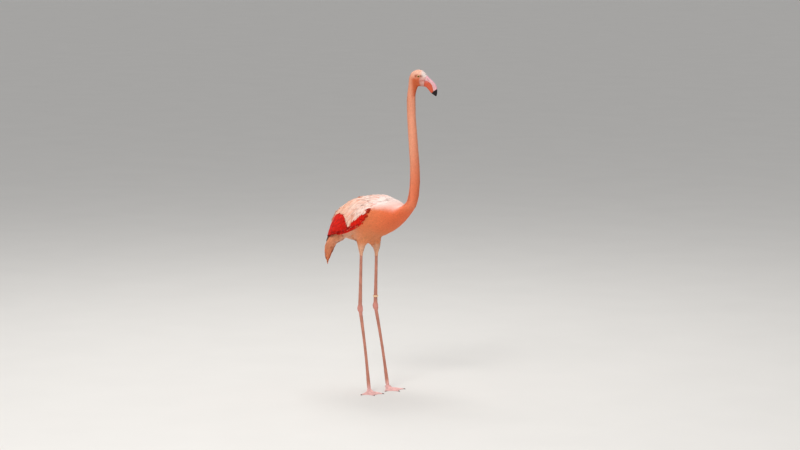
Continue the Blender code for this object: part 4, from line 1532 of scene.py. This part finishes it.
CAMERA_AT = (7.690, -9.037, 2.310)
CAMERA_TURN = (math.radians(90.0 - 7.64), 0.0, math.radians(40.0))
CAMERA_LENS = 127.4
FLOOR_SIZE = 60.0
LIT_AT = Vector((0.0, 0.0, 0.75))       # the lamps face the bird's body
# Name, place, size and power of each lamp
LAMPS = (("key", (1.2, -4.6, 4.6), 2.2, 170.0), ("fill", (5.2, -1.0, 2.4), 3.0, 40.0),
         ("top", (-1.4, 0.8, 4.6), 2.6, 95.0))


class FLAMINGO_OT_stage(bpy.types.Operator):
    """Set the pale floor, soft studio lights and the camera"""
    bl_idname = "flamingo.stage"
    bl_label = "Stage"

    def execute(self, context):
        bpy.ops.object.select_all(action="DESELECT")
        bpy.ops.mesh.primitive_plane_add(size=FLOOR_SIZE, location=(0.0, 0.0, 0.0))
        floor = bpy.context.active_object
        floor.name = "studio_floor"
        set_tint(floor.data, np.array(colours().floor))
        floor.data.materials.append(floor_material())
        # True colours: a surface under full light looks as its colour is set
        context.scene.view_settings.view_transform = "Standard"
        world = bpy.data.worlds.new("studio_air")
        context.scene.world = world
        world.use_nodes = True
        air = world.node_tree.nodes["Background"]
        air.inputs["Color"].default_value = (0.95, 0.97, 1.0, 1.0)
        air.inputs["Strength"].default_value = 0.50
        for name, place, size, power in LAMPS:
            lamp = bpy.data.lights.new(name, "AREA")
            lamp.size = size
            lamp.energy = power
            thing = new_object(name + "_light", lamp)
            thing.location = place
            thing.rotation_euler = (LIT_AT - Vector(place)).to_track_quat("-Z", "Y").to_euler()
        camera = new_object("camera", bpy.data.cameras.new("camera"))
        camera.data.lens = CAMERA_LENS
        camera.data.sensor_width = 36.0
        camera.data.clip_end = 100.0
        camera.location = CAMERA_AT
        camera.rotation_euler = CAMERA_TURN
        context.scene.camera = camera
        return DONE


class FLAMINGO_PT_panel(bpy.types.Panel):
    """Steps of the model, in order"""
    bl_label = "Flamingo"
    bl_idname = "FLAMINGO_PT_panel"
    bl_space_type = "VIEW_3D"
    bl_region_type = "UI"
    bl_category = "Flamingo"

    def draw(self, context):
        for step in STEPS:
            self.layout.operator(step.bl_idname)


STEPS = (FLAMINGO_OT_stage, FLAMINGO_OT_skin, FLAMINGO_OT_head_plumage,
         FLAMINGO_OT_neck_plumage, FLAMINGO_OT_body_plumage, FLAMINGO_OT_thigh_plumage,
         FLAMINGO_OT_wing_plumage, FLAMINGO_OT_tail_plumage,
         FLAMINGO_OT_bill, FLAMINGO_OT_eyes, FLAMINGO_OT_claws, FLAMINGO_OT_leg_band)
CLASSES = (FlamingoSizes, FlamingoColours) + STEPS + (FLAMINGO_PT_panel,)


def register():
    """Make the classes known, and give the scene its sizes and colours."""
    for cls in CLASSES:
        bpy.utils.register_class(cls)
    bpy.types.Scene.flamingo_sizes = bpy.props.PointerProperty(type=FlamingoSizes)
    bpy.types.Scene.flamingo_colours = bpy.props.PointerProperty(type=FlamingoColours)


def unregister():
    """Undo register."""
    del bpy.types.Scene.flamingo_colours
    del bpy.types.Scene.flamingo_sizes
    for cls in reversed(CLASSES):
        bpy.utils.unregister_class(cls)


def main():
    """Build every piece in order."""
    register()
    bpy.ops.object.select_all(action="DESELECT")
    for step in STEPS:
        group, name = step.bl_idname.split(".")
        getattr(getattr(bpy.ops, group), name)()


if __name__ == "__main__":
    main()
